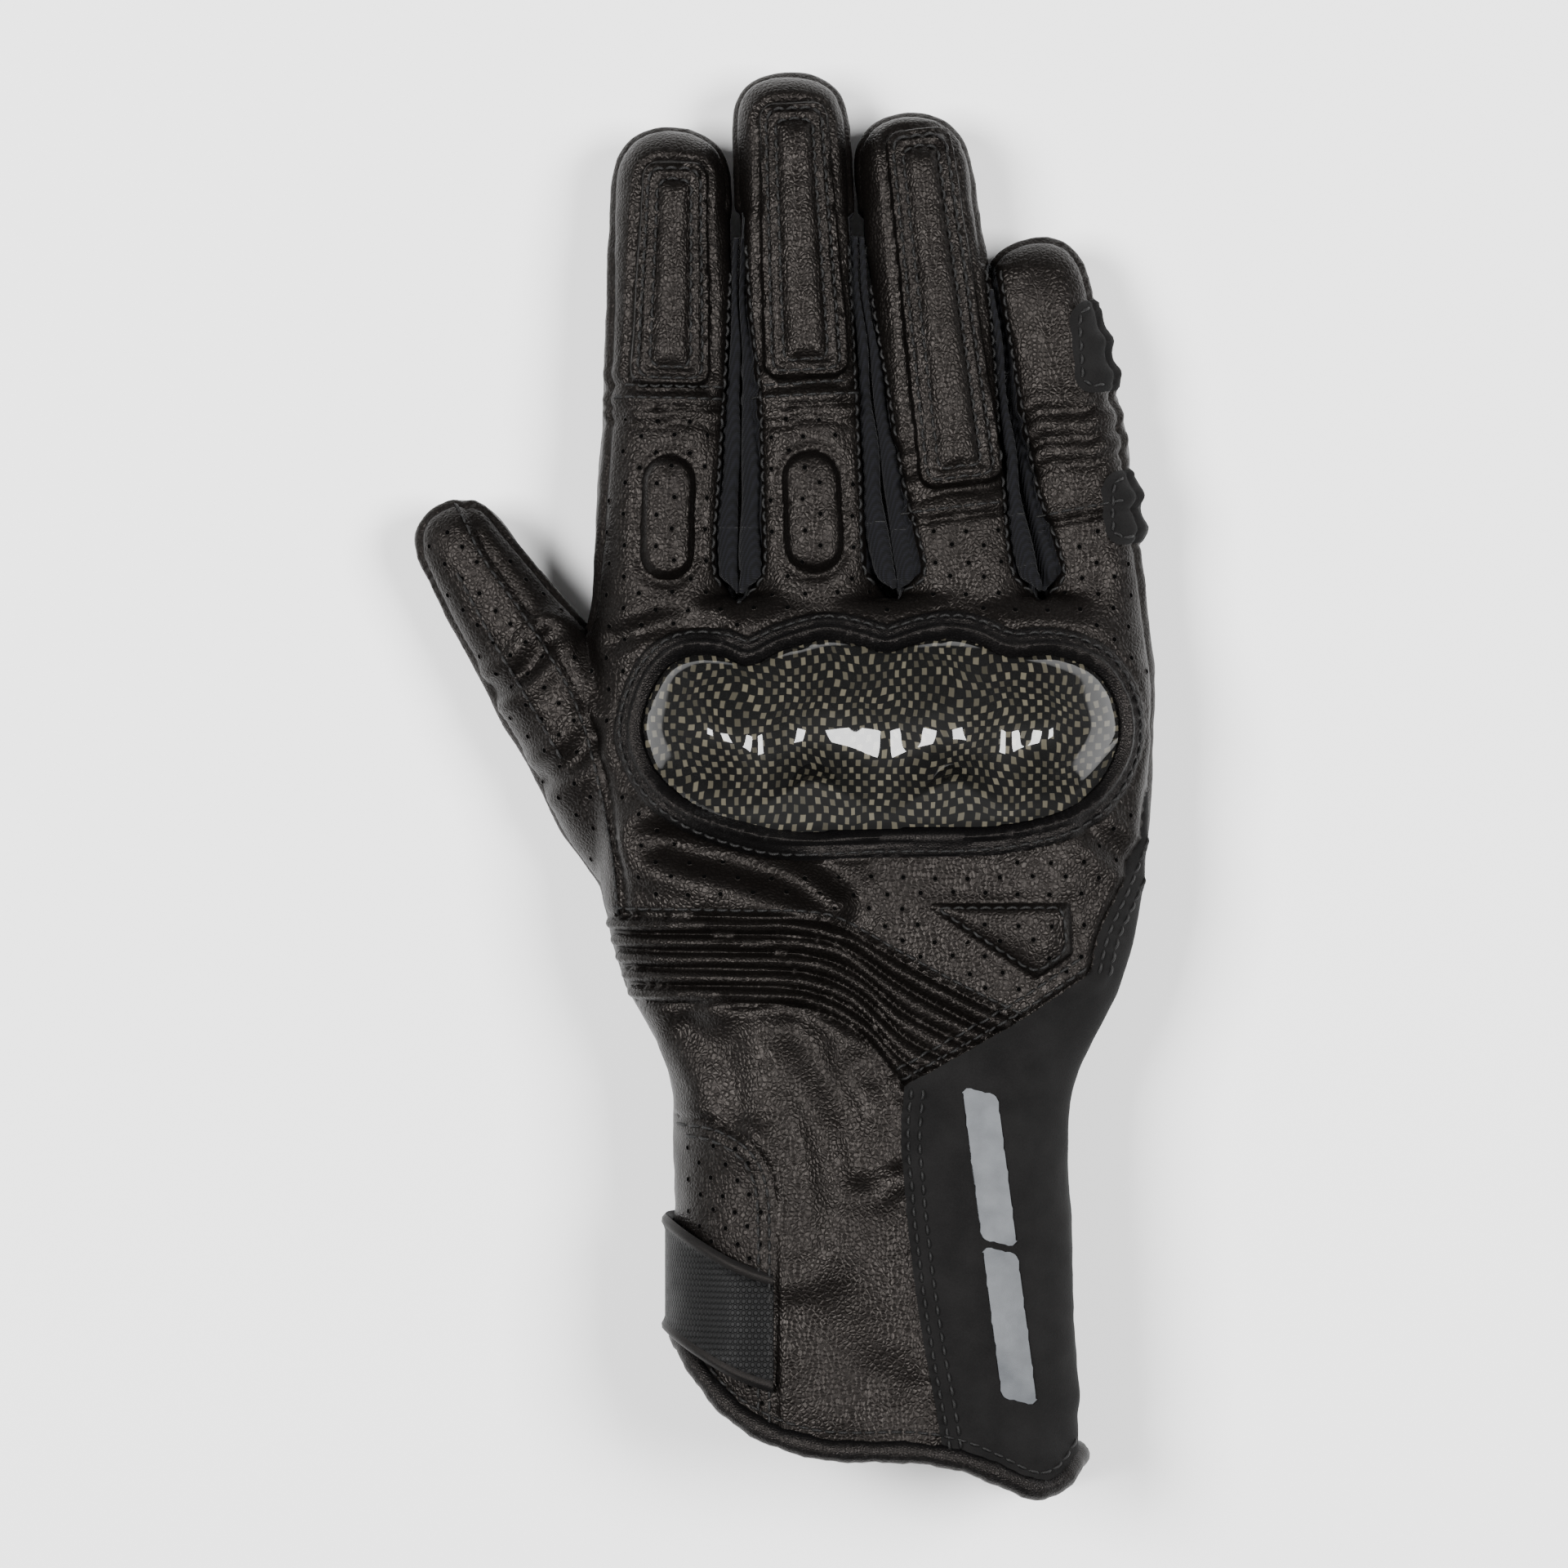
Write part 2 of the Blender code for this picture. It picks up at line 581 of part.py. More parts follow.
def hump(x, y, share):
    """How far the guard stands over the back of the hand: four domes side by side over a low rim."""
    knuckle = 0.5 - 0.5 * math.cos((x - GUARD_CENTRE[0] + GUARD_HALF[0]) * math.pi / GUARD_HALF[0] * 2)
    front = 1 - ((y - GUARD_CENTRE[1]) / GUARD_HALF[1]) ** 2
    return 2.5 + max(1 - share ** 3, 0.0) * (4.0 + 3.5 * knuckle * max(front, 0.0))


def make_guard(hand, carbon, frame_leather, foam):
    """The hard knuckle guard, the foam under it and the leather frame round its edge."""
    def surface(x, y, share):
        return hand.top(x, y) + hump(x, y, share)

    guard = shell("knuckle_guard", disc_rows(guard_outline(), surface, 6), carbon, GUARD_THICKNESS, ring=True)
    guard.modifiers["thickness"].offset = 1.0
    foam_outline = guard_outline(-4.0)
    pad("guard_foam", foam_outline, lambda x, y, share: surface(x, y, share * 0.9) - GUARD_THICKNESS - 0.9,
        lambda x, y, share: hand.top(x, y) + GAP, foam, rings=4)
    inner, outer = guard_outline(0.8), guard_outline(4.2)
    ring_pad("guard_frame", inner, outer, lambda x, y, share: hand.top(x, y) + 2.6 - share,
             lambda x, y, share: hand.top(x, y) + GAP, frame_leather)


def main():
    clear_scene()
    leather = principled("leather", (0.035, 0.028, 0.024), 0.5)
    smooth_leather = principled("binding_leather", (0.02, 0.02, 0.022), 0.45)
    suede = principled("suede", (0.018, 0.018, 0.018), 0.95)
    textile = principled("textile", (0.014, 0.014, 0.022), 0.9)
    carbon = principled("carbon", (0.03, 0.03, 0.03), 0.15)
    rubber = principled("rubber", (0.03, 0.03, 0.032), 0.6)
    reflective = principled("reflective", (0.42, 0.45, 0.47), 0.4)
    foam = principled("foam", (0.05, 0.05, 0.05), 0.9)
    fastening = principled("fastening", (0.02, 0.02, 0.02), 0.95)
    lining = principled("lining", (0.03, 0.03, 0.035), 0.95)

    hand = Tube((0, 0), (0, 1), HAND_STATIONS, crown=2.5, belly=3.4)
    back, palm, liner = make_hand(hand, leather, suede, lining)
    thumb, thumb_heel, web, thumb_base = make_thumb(leather, textile)
    thumb_cutter = hidden_solid("thumb_cutter", tube_rows(thumb, spread(-4.0, 27.0, 6), GAP + 0.1), leather)
    for thing in (back, palm, liner):
        cut(thing, thumb_cutter)
    for grow, things in ((GAP + 0.1, (thumb_heel, web)), (THUMB_CLEARANCE, (thumb_base,))):
        hand_rows = tube_rows(hand, spread(-30.0, 39.0, 9), grow, spread(0.0, 360.0, 33)[:-1])
        hand_cutter = hidden_solid(f"hand_cutter_{things[0].name}", hand_rows, leather)
        for thing in things:
            cut(thing, hand_cutter)

    make_wrist(hand, leather, textile)
    make_cuff(hand, leather, suede, smooth_leather, lining)
    make_reflective_trim(hand, reflective)
    make_strap(hand, rubber, fastening)
    make_guard(hand, carbon, smooth_leather, foam)
    patch = BACK_PATCH_OUTLINE
    pad("back_hand_patch", patch, lambda x, y, share: hand.top(x, y) + 2.4 * (1 - share ** 4 * 0.6),
        lambda x, y, share: hand.top(x, y) + 0.6, leather)
    heel = oval((0, 0), PALM_PAD_HALF, 20, 4.0)
    pad("palm_heel_pad", heel, lambda x, y, share: PALM_PAD_HEIGHT, lambda x, y, share: 0.0, suede, rings=2)

    tubes = {name: make_finger(name, finger, leather, textile) for name, finger in FINGERS.items()}
    finger_pad("index_finger_pad", tubes["index"], 39.0, 76.0, 5.9, 1.4, leather)
    finger_pad("middle_finger_pad", tubes["middle"], 39.5, 86.0, 6.2, 1.4, leather)
    finger_pad("ring_finger_pad", tubes["ring"], 33.5, 79.0, 5.9, 1.4, leather)
    finger_pad("index_knuckle_pad", tubes["index"], 11.0, 26.5, 4.4, 1.6, leather, 2.0)
    finger_pad("middle_knuckle_pad", tubes["middle"], 11.0, 27.0, 4.6, 1.6, leather, 2.0)
    side_patch("little_tip_patch", tubes["little"], 31.0, 48.0, -30.0, 38.0, suede)
    side_patch("little_base_patch", tubes["little"], 11.0, 18.6, -30.0, 38.0, suede)


main()
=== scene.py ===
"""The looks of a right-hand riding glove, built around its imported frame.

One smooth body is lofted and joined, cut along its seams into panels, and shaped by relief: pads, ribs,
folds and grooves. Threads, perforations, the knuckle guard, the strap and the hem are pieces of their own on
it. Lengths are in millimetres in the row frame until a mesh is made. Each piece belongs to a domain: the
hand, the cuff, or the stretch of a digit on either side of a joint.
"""
import json
import math

import bmesh
import bpy
import numpy as np
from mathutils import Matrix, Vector, noise
from mathutils.bvhtree import BVHTree

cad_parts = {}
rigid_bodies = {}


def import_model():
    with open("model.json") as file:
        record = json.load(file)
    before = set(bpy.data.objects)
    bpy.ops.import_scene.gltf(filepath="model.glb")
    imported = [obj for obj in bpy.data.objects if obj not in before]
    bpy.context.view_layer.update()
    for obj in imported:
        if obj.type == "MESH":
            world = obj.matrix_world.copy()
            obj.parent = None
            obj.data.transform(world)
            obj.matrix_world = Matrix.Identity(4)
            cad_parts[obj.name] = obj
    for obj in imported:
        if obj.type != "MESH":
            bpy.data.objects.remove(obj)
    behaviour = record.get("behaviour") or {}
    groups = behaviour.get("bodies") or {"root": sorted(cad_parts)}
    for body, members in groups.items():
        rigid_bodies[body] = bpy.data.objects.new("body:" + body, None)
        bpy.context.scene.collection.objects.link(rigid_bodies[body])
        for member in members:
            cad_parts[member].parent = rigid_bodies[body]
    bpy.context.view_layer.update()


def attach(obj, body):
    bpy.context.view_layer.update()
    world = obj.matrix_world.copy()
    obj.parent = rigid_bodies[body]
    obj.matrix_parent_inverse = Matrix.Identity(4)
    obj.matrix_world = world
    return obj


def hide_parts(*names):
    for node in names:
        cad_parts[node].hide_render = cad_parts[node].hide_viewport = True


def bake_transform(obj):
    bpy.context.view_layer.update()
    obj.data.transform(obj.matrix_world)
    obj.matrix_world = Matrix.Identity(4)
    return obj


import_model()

MM = 0.001
VOXEL = 0.8
SHRINK = 0.7            # the lofts are joined this much thinner, so that neighbouring fingers don't fuse
SKIN_THICKNESS = 1.1
STITCH_PITCH = 2.3
THREAD_RADIUS = 0.25
PERFORATION_ROW = 2.75
PERFORATION_PITCH = 5.7
VENT_PITCH = 4.2
GUARD_THICKNESS = 1.4

FINGERS = ("index", "middle", "ring", "little")


# ---------------------------------------------------------------- small maths

def smooth(value, low, high):
    """0 below low, 1 above high, with a smooth step between."""
    t = np.clip((value - low) / (high - low), 0.0, 1.0)
    return t * t * (3 - 2 * t)


def bump(distance, width):
    return np.exp(-(distance / width) ** 2)


def curve_through(points, step=1.0, closed=False):
    """Points every step along a smooth curve through the given ones."""
    p = np.array(points, float)
    if closed:
        p = np.vstack([p, p[:1]])
    before, after = (p[-2], p[1]) if closed else (2 * p[0] - p[1], 2 * p[-1] - p[-2])
    ends = np.vstack([before, p, after])
    found = []
    for before, a, b, after in zip(ends, ends[1:], ends[2:], ends[3:]):
        count = max(int(np.linalg.norm(b - a) / step), 1)
        for t in np.arange(count) / count:
            found.append(0.5 * (2 * a + (b - before) * t + (2 * before - 5 * a + 4 * b - after) * t ** 2
                                + (3 * a - before - 3 * b + after) * t ** 3))
    found.append(p[-1])
    return np.array(found)


def polyline_distance(xy, line):
    """Distance from points to a polyline, and its sign: positive to the left of its direction."""
    best = np.full(len(xy), 1e9)
    side = np.zeros(len(xy))
    for a, b in zip(line, line[1:]):
        d = b - a
        t = np.clip(((xy - a) @ d) / (d @ d), 0, 1)
        away = xy - (a + t[:, None] * d)
        distance = np.hypot(away[:, 0], away[:, 1])
        nearer = distance < best
        best[nearer] = distance[nearer]
        cross = d[0] * away[:, 1] - d[1] * away[:, 0]
        side[nearer] = np.sign(cross[nearer])
    return best, side


def resample(line, step):
    """Points at even steps along a polyline."""
    line = np.array(line, float)
    lengths = np.concatenate([[0], np.cumsum(np.linalg.norm(np.diff(line, axis=0), axis=1))])
    at = np.arange(0, lengths[-1] + 1e-6, lengths[-1] / max(int(round(lengths[-1] / step)), 1))
    return np.stack([np.interp(at, lengths, line[:, k]) for k in range(line.shape[1])], axis=1)


def rounded_box(across, along, half_width, half_length, radius):
    """Signed distance to a box with round corners, negative inside."""
    qx = np.abs(across) - (half_width - radius)
    qy = np.abs(along) - (half_length - radius)
    outside = np.hypot(np.maximum(qx, 0), np.maximum(qy, 0))
    return outside + np.minimum(np.maximum(qx, qy), 0) - radius


class Outline:
    """A closed plan curve. Calling it gives points' signed distance from a fine grid, negative inside."""

    def __init__(self, points, margin=9.0, step=0.3):
        loop = curve_through(points, 1.5, closed=True)
        self.low, self.step = loop.min(axis=0) - margin, step
        self.count = np.ceil((loop.max(axis=0) + margin - self.low) / step).astype(int)
        gx, gy = np.meshgrid(*(self.low[k] + np.arange(self.count[k]) * step for k in (0, 1)),
                             indexing="ij")
        xy = np.stack([gx.ravel(), gy.ravel()], axis=1)
        distance, _ = polyline_distance(xy, loop)
        inside = np.zeros(len(xy), bool)
        for a, b in zip(loop, loop[1:]):
            if a[1] != b[1]:
                crosses = (a[1] > xy[:, 1]) != (b[1] > xy[:, 1])
                inside ^= crosses & (xy[:, 0] < a[0] + (xy[:, 1] - a[1]) / (b[1] - a[1]) * (b[0] - a[0]))
        self.values = np.where(inside, -distance, distance).reshape(self.count)

    def __call__(self, xy):
        at = np.clip((xy - self.low) / self.step, 0, self.count - 1.001)
        i, j = at.astype(int).T
        u, v = (at - at.astype(int)).T
        g = self.values
        return ((g[i, j] * (1 - u) + g[i + 1, j] * u) * (1 - v)
                + (g[i, j + 1] * (1 - u) + g[i + 1, j + 1] * u) * v)


# ---------------------------------------------------------------- lofts

class Loft:
    """Superellipse sections along a level axis: rows are (distance, offset, half width, underside, top)."""

    def __init__(self, base, tip, rows, round_from=None, crown=2.3, belly=2.7):
        self.base = np.array(base, float)
        axis = np.array(tip, float) - self.base
        self.length = np.hypot(*axis)
        self.along = axis / self.length
        self.right = np.array([self.along[1], -self.along[0]])
        self.rows = np.array(rows, float)
        self.round_from = round_from
        self.crown, self.belly = crown, belly

    def local(self, xy):
        """(along, across) of plan points."""
        away = xy - self.base
        return away @ self.along, away @ self.right

    def plan(self, s, across):
        """The plan point at this distance along and across."""
        return self.base + self.along * s + self.right * across

    def values(self, s):
        return [np.interp(s, self.rows[:, 0], self.rows[:, k]) for k in range(1, 5)]

    def ring(self, s, count, out):
        offset, half, low, high = self.values(s)
        shrink = 1.0
        if self.round_from is not None and s > self.round_from:
            t = min((s - self.round_from) / (self.length - self.round_from), 1.0)
            shrink = max(1 - t ** 3.2, 0.0) ** 0.4545
        middle, tall = (low + high) / 2, (high - low) / 2 * shrink + out * shrink
        wide = (half + out) * shrink
        points = []
        for i in range(count):
            a = 2 * math.pi * i / count
            power = 2 / (self.crown if math.sin(a) > 0 else self.belly)
            c = math.copysign(abs(math.cos(a)) ** power, math.cos(a))
            n = math.copysign(abs(math.sin(a)) ** power, math.sin(a))
            x, y = self.base + self.along * s + self.right * (offset + wide * c)
            points.append((x, y, middle + tall * n))
        return points

    def mesh(self, bm, start, count=48, steps=40, out=0.0):
        """Adds the closed loft from start to its end to a bmesh."""
        stops = list(np.linspace(start, self.round_from or self.rows[-1, 0], steps))
        if self.round_from is not None:
            tip = self.length + out
            scale = (tip - self.round_from) / (self.length - self.round_from)
            stops += [self.round_from + (self.length - self.round_from)
                      * t for t in (.15, .3, .45, .6, .72, .82, .9, .95, .98, .995)]
        rings = []
        for s in stops:
            ring = self.ring(s, count, out)
            if self.round_from is not None and s > self.round_from:
                extra = (s - self.round_from) * (scale - 1)
                ring = [(x + self.along[0] * extra, y + self.along[1] * extra, z) for x, y, z in ring]
            rings.append([bm.verts.new(p) for p in ring])
        for lower, upper in zip(rings, rings[1:]):
            for j in range(count):
                k = (j + 1) % count
                bm.faces.new((lower[k], lower[j], upper[j], upper[k]))
        bm.faces.new(rings[0])
        bm.faces.new(list(reversed(rings[-1])))


HAND = Loft((0, 0), (0, 1), [
    (-126, 2.2, 34.2, 4.6, 41.5), (-105, 2.0, 34.2, 4.6, 42.5), (-90, 1.2, 34.4, 4.8, 42.8),
    (-75, 0.4, 34.8, 4.8, 42.5),
    (-60, 0.2, 34.4, 4.8, 41.8), (-50, 0.2, 34.4, 4.6, 40.5), (-45, 0.3, 35.4, 4.0, 39.8),
    (-38, 0.7, 38.4, 3.2, 38.6),
    (-30, 0.6, 43.0, 2.4, 37.8), (-22, 0.6, 45.6, 2.0, 37.4), (-12, 0.2, 47.4, 1.8, 37.0),
    (0, 0.2, 48.4, 1.8, 36.4),
    (15, 0.2, 49.3, 1.8, 35.0), (25, 0.2, 49.3, 1.8, 33.2), (34, -0.2, 48.8, 1.8, 31.0),
    (37.6, -0.4, 47.6, 2.2, 28.6)],
    crown=2.5, belly=3.3)
DIGITS = {
    "index": Loft((-36.2, 38.0), (-34.4, 121.0), [
        (-14, 0.0, 12.0, 2.2, 28.0), (0, 0.0, 12.4, 1.8, 28.0), (20, 0.2, 12.0, 1.9, 26.6),
        (33, 0.1, 11.4, 2.0, 25.6),
        (45, 0.0, 11.3, 2.2, 24.8), (68, -0.2, 10.4, 2.8, 23.0), (83, -0.2, 9.8, 3.2, 21.5)], 71.0),
    "middle": Loft((-9.6, 38.0), (-14.3, 130.7), [
        (-14, 0.0, 12.6, 2.2, 30.0), (0, 0.0, 12.4, 1.8, 29.0), (22, 0.0, 11.7, 1.9, 27.4),
        (33, -0.2, 11.3, 2.0, 26.4),
        (48, -0.3, 10.8, 2.2, 25.4), (79, -0.1, 9.9, 2.8, 23.0), (92, 0.0, 9.6, 3.2, 21.5)], 83.0),
    "ring": Loft((17.0, 38.0), (6.4, 123.3), [
        (-14, 0.0, 12.6, 2.2, 29.5), (0, 0.0, 12.6, 1.8, 28.4), (20, -0.5, 11.5, 1.9, 27.0),
        (33, -0.2, 11.2, 2.0, 26.0),
        (45, 0.2, 11.0, 2.2, 25.0), (71, 0.2, 10.2, 2.8, 23.0), (86, 0.0, 9.6, 3.2, 21.5)], 75.0),
    "little": Loft((39.6, 38.0), (27.6, 101.5), [
        (-14, -0.8, 8.6, 2.4, 25.0), (0, 0.0, 8.9, 1.8, 24.6), (14, 0.7, 9.6, 1.9, 24.2),
        (28, 0.9, 10.0, 2.1, 23.4),
        (45, 0.6, 9.7, 2.5, 22.0), (64, 0.2, 8.9, 3.0, 20.0)], 53.0),
    "thumb": Loft((-48.9, 1.2), (-76.1, 54.6), [
        (-20, 9.0, 11.0, 3.6, 26.0), (-14, 8.4, 12.6, 3.0, 25.6), (0, 6.6, 12.8, 2.6, 25.0),
        (10, 5.3, 11.6, 2.6, 24.4),
        (22, 4.4, 10.8, 2.4, 23.4), (31, 3.4, 10.0, 2.4, 22.6), (44, 1.7, 8.8, 2.6, 20.6),
        (60, 0.2, 7.4, 3.4, 18.5)], 50.0,
        crown=2.2, belly=2.4),
}
CROTCHES = {"index": (-22.9, 39.6), "middle": (4.3, 40.4), "ring": (30.0, 40.2)}

# (start, end) along each digit of the stretches that bend at its two joints, and the cut between them
BEND_ZONES = {"index": ((1.8, 11.6), (26.0, 39.0), 12.6), "middle": ((2.1, 11.6), (26.5, 39.5), 12.6),
              "ring": ((4.0, 13.0), (20.5, 33.5), 13.4), "little": ((3.7, 13.0), (18.5, 31.0), 13.4)}
THUMB_DIRECTION = np.array([-0.766, 0.643])
THUMB_WEB = (57.6, 66.4)
THUMB_CUT = 66.6
THUMB_ZONE = (37.0, 48.0)


def bend(piece, domain):
    """Bakes a piece's transform into its mesh, or parents it to its domain's rigid body. No bend is
    applied: the ends of a digit's bend zone are worked out but not used.
    """
    if domain in ("hand", "cuff"):
        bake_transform(piece)
    elif domain == "thumb_base":
        start, end = (THUMB_DIRECTION * d for d in THUMB_WEB)
        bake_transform(piece)
    elif domain == "thumb_tip":
        start, end = (DIGITS["thumb"].plan(s, 0) for s in THUMB_ZONE)
        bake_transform(piece)
    elif domain.endswith("_base") or domain.endswith("_tip"):
        name, part = domain.rsplit("_", 1)
        zone = BEND_ZONES[name][0 if part == "base" else 1]
        start, end = (DIGITS[name].plan(s, 0) for s in zone)
        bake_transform(piece)
    else:
        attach(piece, domain)


def digit_of(xy):
    """The digit of each plan point: an index into FINGERS, or 4 for the thumb and -1 for the hand."""
    found = np.full(len(xy), -1)
    spans = (xy[:, 0] < CROTCHES["index"][0] - 0.05 * (xy[:, 1] - 40),
             xy[:, 0] < CROTCHES["middle"][0] - 0.09 * (xy[:, 1] - 40),
             xy[:, 0] < CROTCHES["ring"][0] - 0.16 * (xy[:, 1] - 40))
    which = np.where(spans[0], 0, np.where(spans[1], 1, np.where(spans[2], 2, 3)))
    for i, name in enumerate(FINGERS):
        s, across = DIGITS[name].local(xy)
        found[(which == i) & (s > BEND_ZONES[name][0][0]) & (xy[:, 1] > 34)] = i
    s, across = DIGITS["thumb"].local(xy)
    thumb = (xy @ THUMB_DIRECTION > THUMB_WEB[0]) & (across < 15) & (xy[:, 0] < CROTCHES["index"][0]
                                                                     - 20) & (xy[:, 1] < 62)
    found[thumb & (xy[:, 0] < -48.9 - 0.2 * np.maximum(xy[:, 1] - 31.5, 0))] = 4
    return found


def domain_of(xy):
    """The domain's name for each plan point."""
    digit = digit_of(xy)
    names = np.full(len(xy), "hand", dtype=object)
    for i, name in enumerate(FINGERS):
        s, _ = DIGITS[name].local(xy)
        names[(digit == i) & (s <= BEND_ZONES[name][2])] = f"{name}_base"
        names[(digit == i) & (s > BEND_ZONES[name][2])] = f"{name}_tip"
    reach = xy @ THUMB_DIRECTION
    names[(digit == 4) & (reach <= THUMB_CUT)] = "thumb_base"
    names[(digit == 4) & (reach > THUMB_CUT)] = "thumb_tip"
    return names


# ---------------------------------------------------------------- meshes as arrays

class Surface:
    """Triangles as arrays. up keeps each point's smooth normal from before the relief."""

    def __init__(self, points, faces):
        self.points, self.faces = points, faces
        self.up = None

    def normals(self):
        p, f = self.points, self.faces
        cross = np.cross(p[f[:, 1]] - p[f[:, 0]], p[f[:, 2]] - p[f[:, 0]])
        result = np.zeros_like(p)
        for k in range(3):
            np.add.at(result, f[:, k], cross)
        return result / np.maximum(np.linalg.norm(result, axis=1), 1e-12)[:, None]

    def edges(self):
        f = self.faces
        both = np.sort(np.vstack([f[:, [0, 1]], f[:, [1, 2]], f[:, [2, 0]]]), axis=1).astype(np.int64)
        keys = np.unique(both[:, 0] * len(self.points) + both[:, 1])
        return np.stack([keys // len(self.points), keys % len(self.points)], axis=1)

    def relax(self, rounds, share=0.5, weights=None):
        """Moves points towards the middle of their neighbours."""
        e = self.edges()
        count = np.bincount(e.ravel(), minlength=len(self.points))[:, None]
        for _ in range(rounds):
            total = np.zeros_like(self.points)
            for a, b in ((0, 1), (1, 0)):
                for axis in range(3):
                    total[:, axis] += np.bincount(e[:, a], weights=self.points[e[:, b], axis],
                                                  minlength=len(self.points))
            step = (total / np.maximum(count, 1) - self.points) * share
            self.points = self.points + (step if weights is None else step * weights[:, None])

    def split(self, values, mask=None, snap=0.12):
        """Adds points where values pass through zero, so that edges run along that line."""
        values = np.where(np.abs(values) < snap, 0.0, values)
        e = self.edges()
        crossing = values[e[:, 0]] * values[e[:, 1]] < 0
        if mask is not None:
            crossing &= mask[e[:, 0]] & mask[e[:, 1]]
        cut = e[crossing]
        if not len(cut):
            return
        t = (values[cut[:, 0]] / (values[cut[:, 0]] - values[cut[:, 1]]))[:, None]
        fresh = self.points[cut[:, 0]] * (1 - t) + self.points[cut[:, 1]] * t
        fresh_up = self.up[cut[:, 0]] * (1 - t) + self.up[cut[:, 1]] * t
        first = len(self.points)
        key = cut[:, 0].astype(np.int64) * (first + 1) + cut[:, 1]
        order = np.argsort(key)
        key = key[order]

        def middle(a, b):
            wanted = np.minimum(a, b).astype(np.int64) * (first + 1) + np.maximum(a, b)
            spot = np.clip(np.searchsorted(key, wanted), 0, len(key) - 1)
            return np.where(key[spot] == wanted, first + order[spot], -1)

        f = self.faces
        m = np.stack([middle(f[:, 0], f[:, 1]), middle(f[:, 1], f[:, 2]), middle(f[:, 2], f[:, 0])], axis=1)
        hits = (m >= 0).sum(axis=1)
        made = [f[hits == 0]]
        for k in range(3):
            one = (hits == 1) & (m[:, k] >= 0)
            a, b, c, n = f[one, k], f[one, (k + 1) % 3], f[one, (k + 2) % 3], m[one, k]
            made += [np.stack([a, n, c], axis=1), np.stack([n, b, c], axis=1)]
            two = (hits == 2) & (m[:, (k + 1) % 3] < 0)
            a, b, c = f[two, k], f[two, (k + 1) % 3], f[two, (k + 2) % 3]
            ab, ca = m[two, k], m[two, (k + 2) % 3]
            made += [np.stack([a, ab, ca], axis=1), np.stack([ab, b, c], axis=1),
                     np.stack([ab, c, ca], axis=1)]
        three = hits == 3
        made += [np.stack([f[three, 0], m[three, 0], m[three, 2]], axis=1),
                 np.stack([m[three, 0], f[three, 1], m[three, 1]], axis=1),
                 np.stack([m[three, 2], m[three, 1], f[three, 2]], axis=1), m[three]]
        self.points = np.vstack([self.points, fresh])
        self.up = np.vstack([self.up, fresh_up])
        self.faces = np.vstack(made)

    def centres(self):
        return self.points[self.faces].mean(axis=1)


def whole_body():
    """One closed, even mesh of the hand, cuff, fingers and thumb."""
    bm = bmesh.new()
    HAND.mesh(bm, -125.0, 72, 90, -SHRINK)
    for loft in DIGITS.values():
        loft.mesh(bm, loft.rows[0, 0], out=-SHRINK)
    mesh = bpy.data.meshes.new("body")
    bm.to_mesh(mesh)
    bm.free()
    thing = bpy.data.objects.new("body", mesh)
    bpy.context.scene.collection.objects.link(thing)
    remesh = thing.modifiers.new("remesh", "REMESH")
    remesh.mode = "VOXEL"
    remesh.voxel_size = VOXEL
    final = thing.evaluated_get(bpy.context.evaluated_depsgraph_get()).to_mesh()
    final.calc_loop_triangles()
    points = np.zeros(len(final.vertices) * 3)
    final.vertices.foreach_get("co", points)
    faces = np.zeros(len(final.loop_triangles) * 3, np.int32)
    final.loop_triangles.foreach_get("vertices", faces)
    bpy.data.objects.remove(thing)
    surface = Surface(points.reshape(-1, 3), faces.reshape(-1, 3))
    surface.relax(14)
    surface.points = surface.points + surface.normals() * (SHRINK + 0.25)
    surface.up = surface.normals()
    plain = Surface(surface.up, surface.faces)
    plain.relax(8)
    surface.up = plain.points / np.linalg.norm(plain.points, axis=1)[:, None]
    return surface


# ---------------------------------------------------------------- seams, as (x, y) in plan

# for each gap between fingers: (y, x of the seam on the thumb side, x of the seam on the other side)
GAPS = {
    "index": [(38.5, -23.3, -22.6), (43, -26.5, -19.3), (57.3, -25.8, -19.6), (74.5, -24.7, -20.1),
              (86, -24.1, -21.5),
              (100.3, -23.4, -22.6), (130, -23.4, -22.6)],
    "middle": [(39.3, 4.0, 4.7), (43, -0.2, 8.8), (57.3, -0.9, 5.2), (74.5, -1.6, 2.4), (86, -2.2, 0.4),
               (100.3, -2.9, -1.6), (130, -4.0, -3.4)],
    "ring": [(39.0, 29.6, 30.3), (43, 25.6, 33.2), (57.3, 24.2, 28.6), (71.7, 23.2, 25.8), (86, 22.2, 23.4),
             (96, 21.2, 22.0), (130, 16.0, 16.6)],
}
SIDE_END = {"index": 106.0, "middle": 106.0, "ring": 97.0}
HEM = [(-60, -88), (-34, -90), (-30, -96.5), (-25, -103), (-18, -107.6), (-8, -110.4), (8, -110.6),
       (16, -112.0),
       (22, -114.6), (29, -118.0), (33, -116.5), (36, -112.5), (60, -111)]
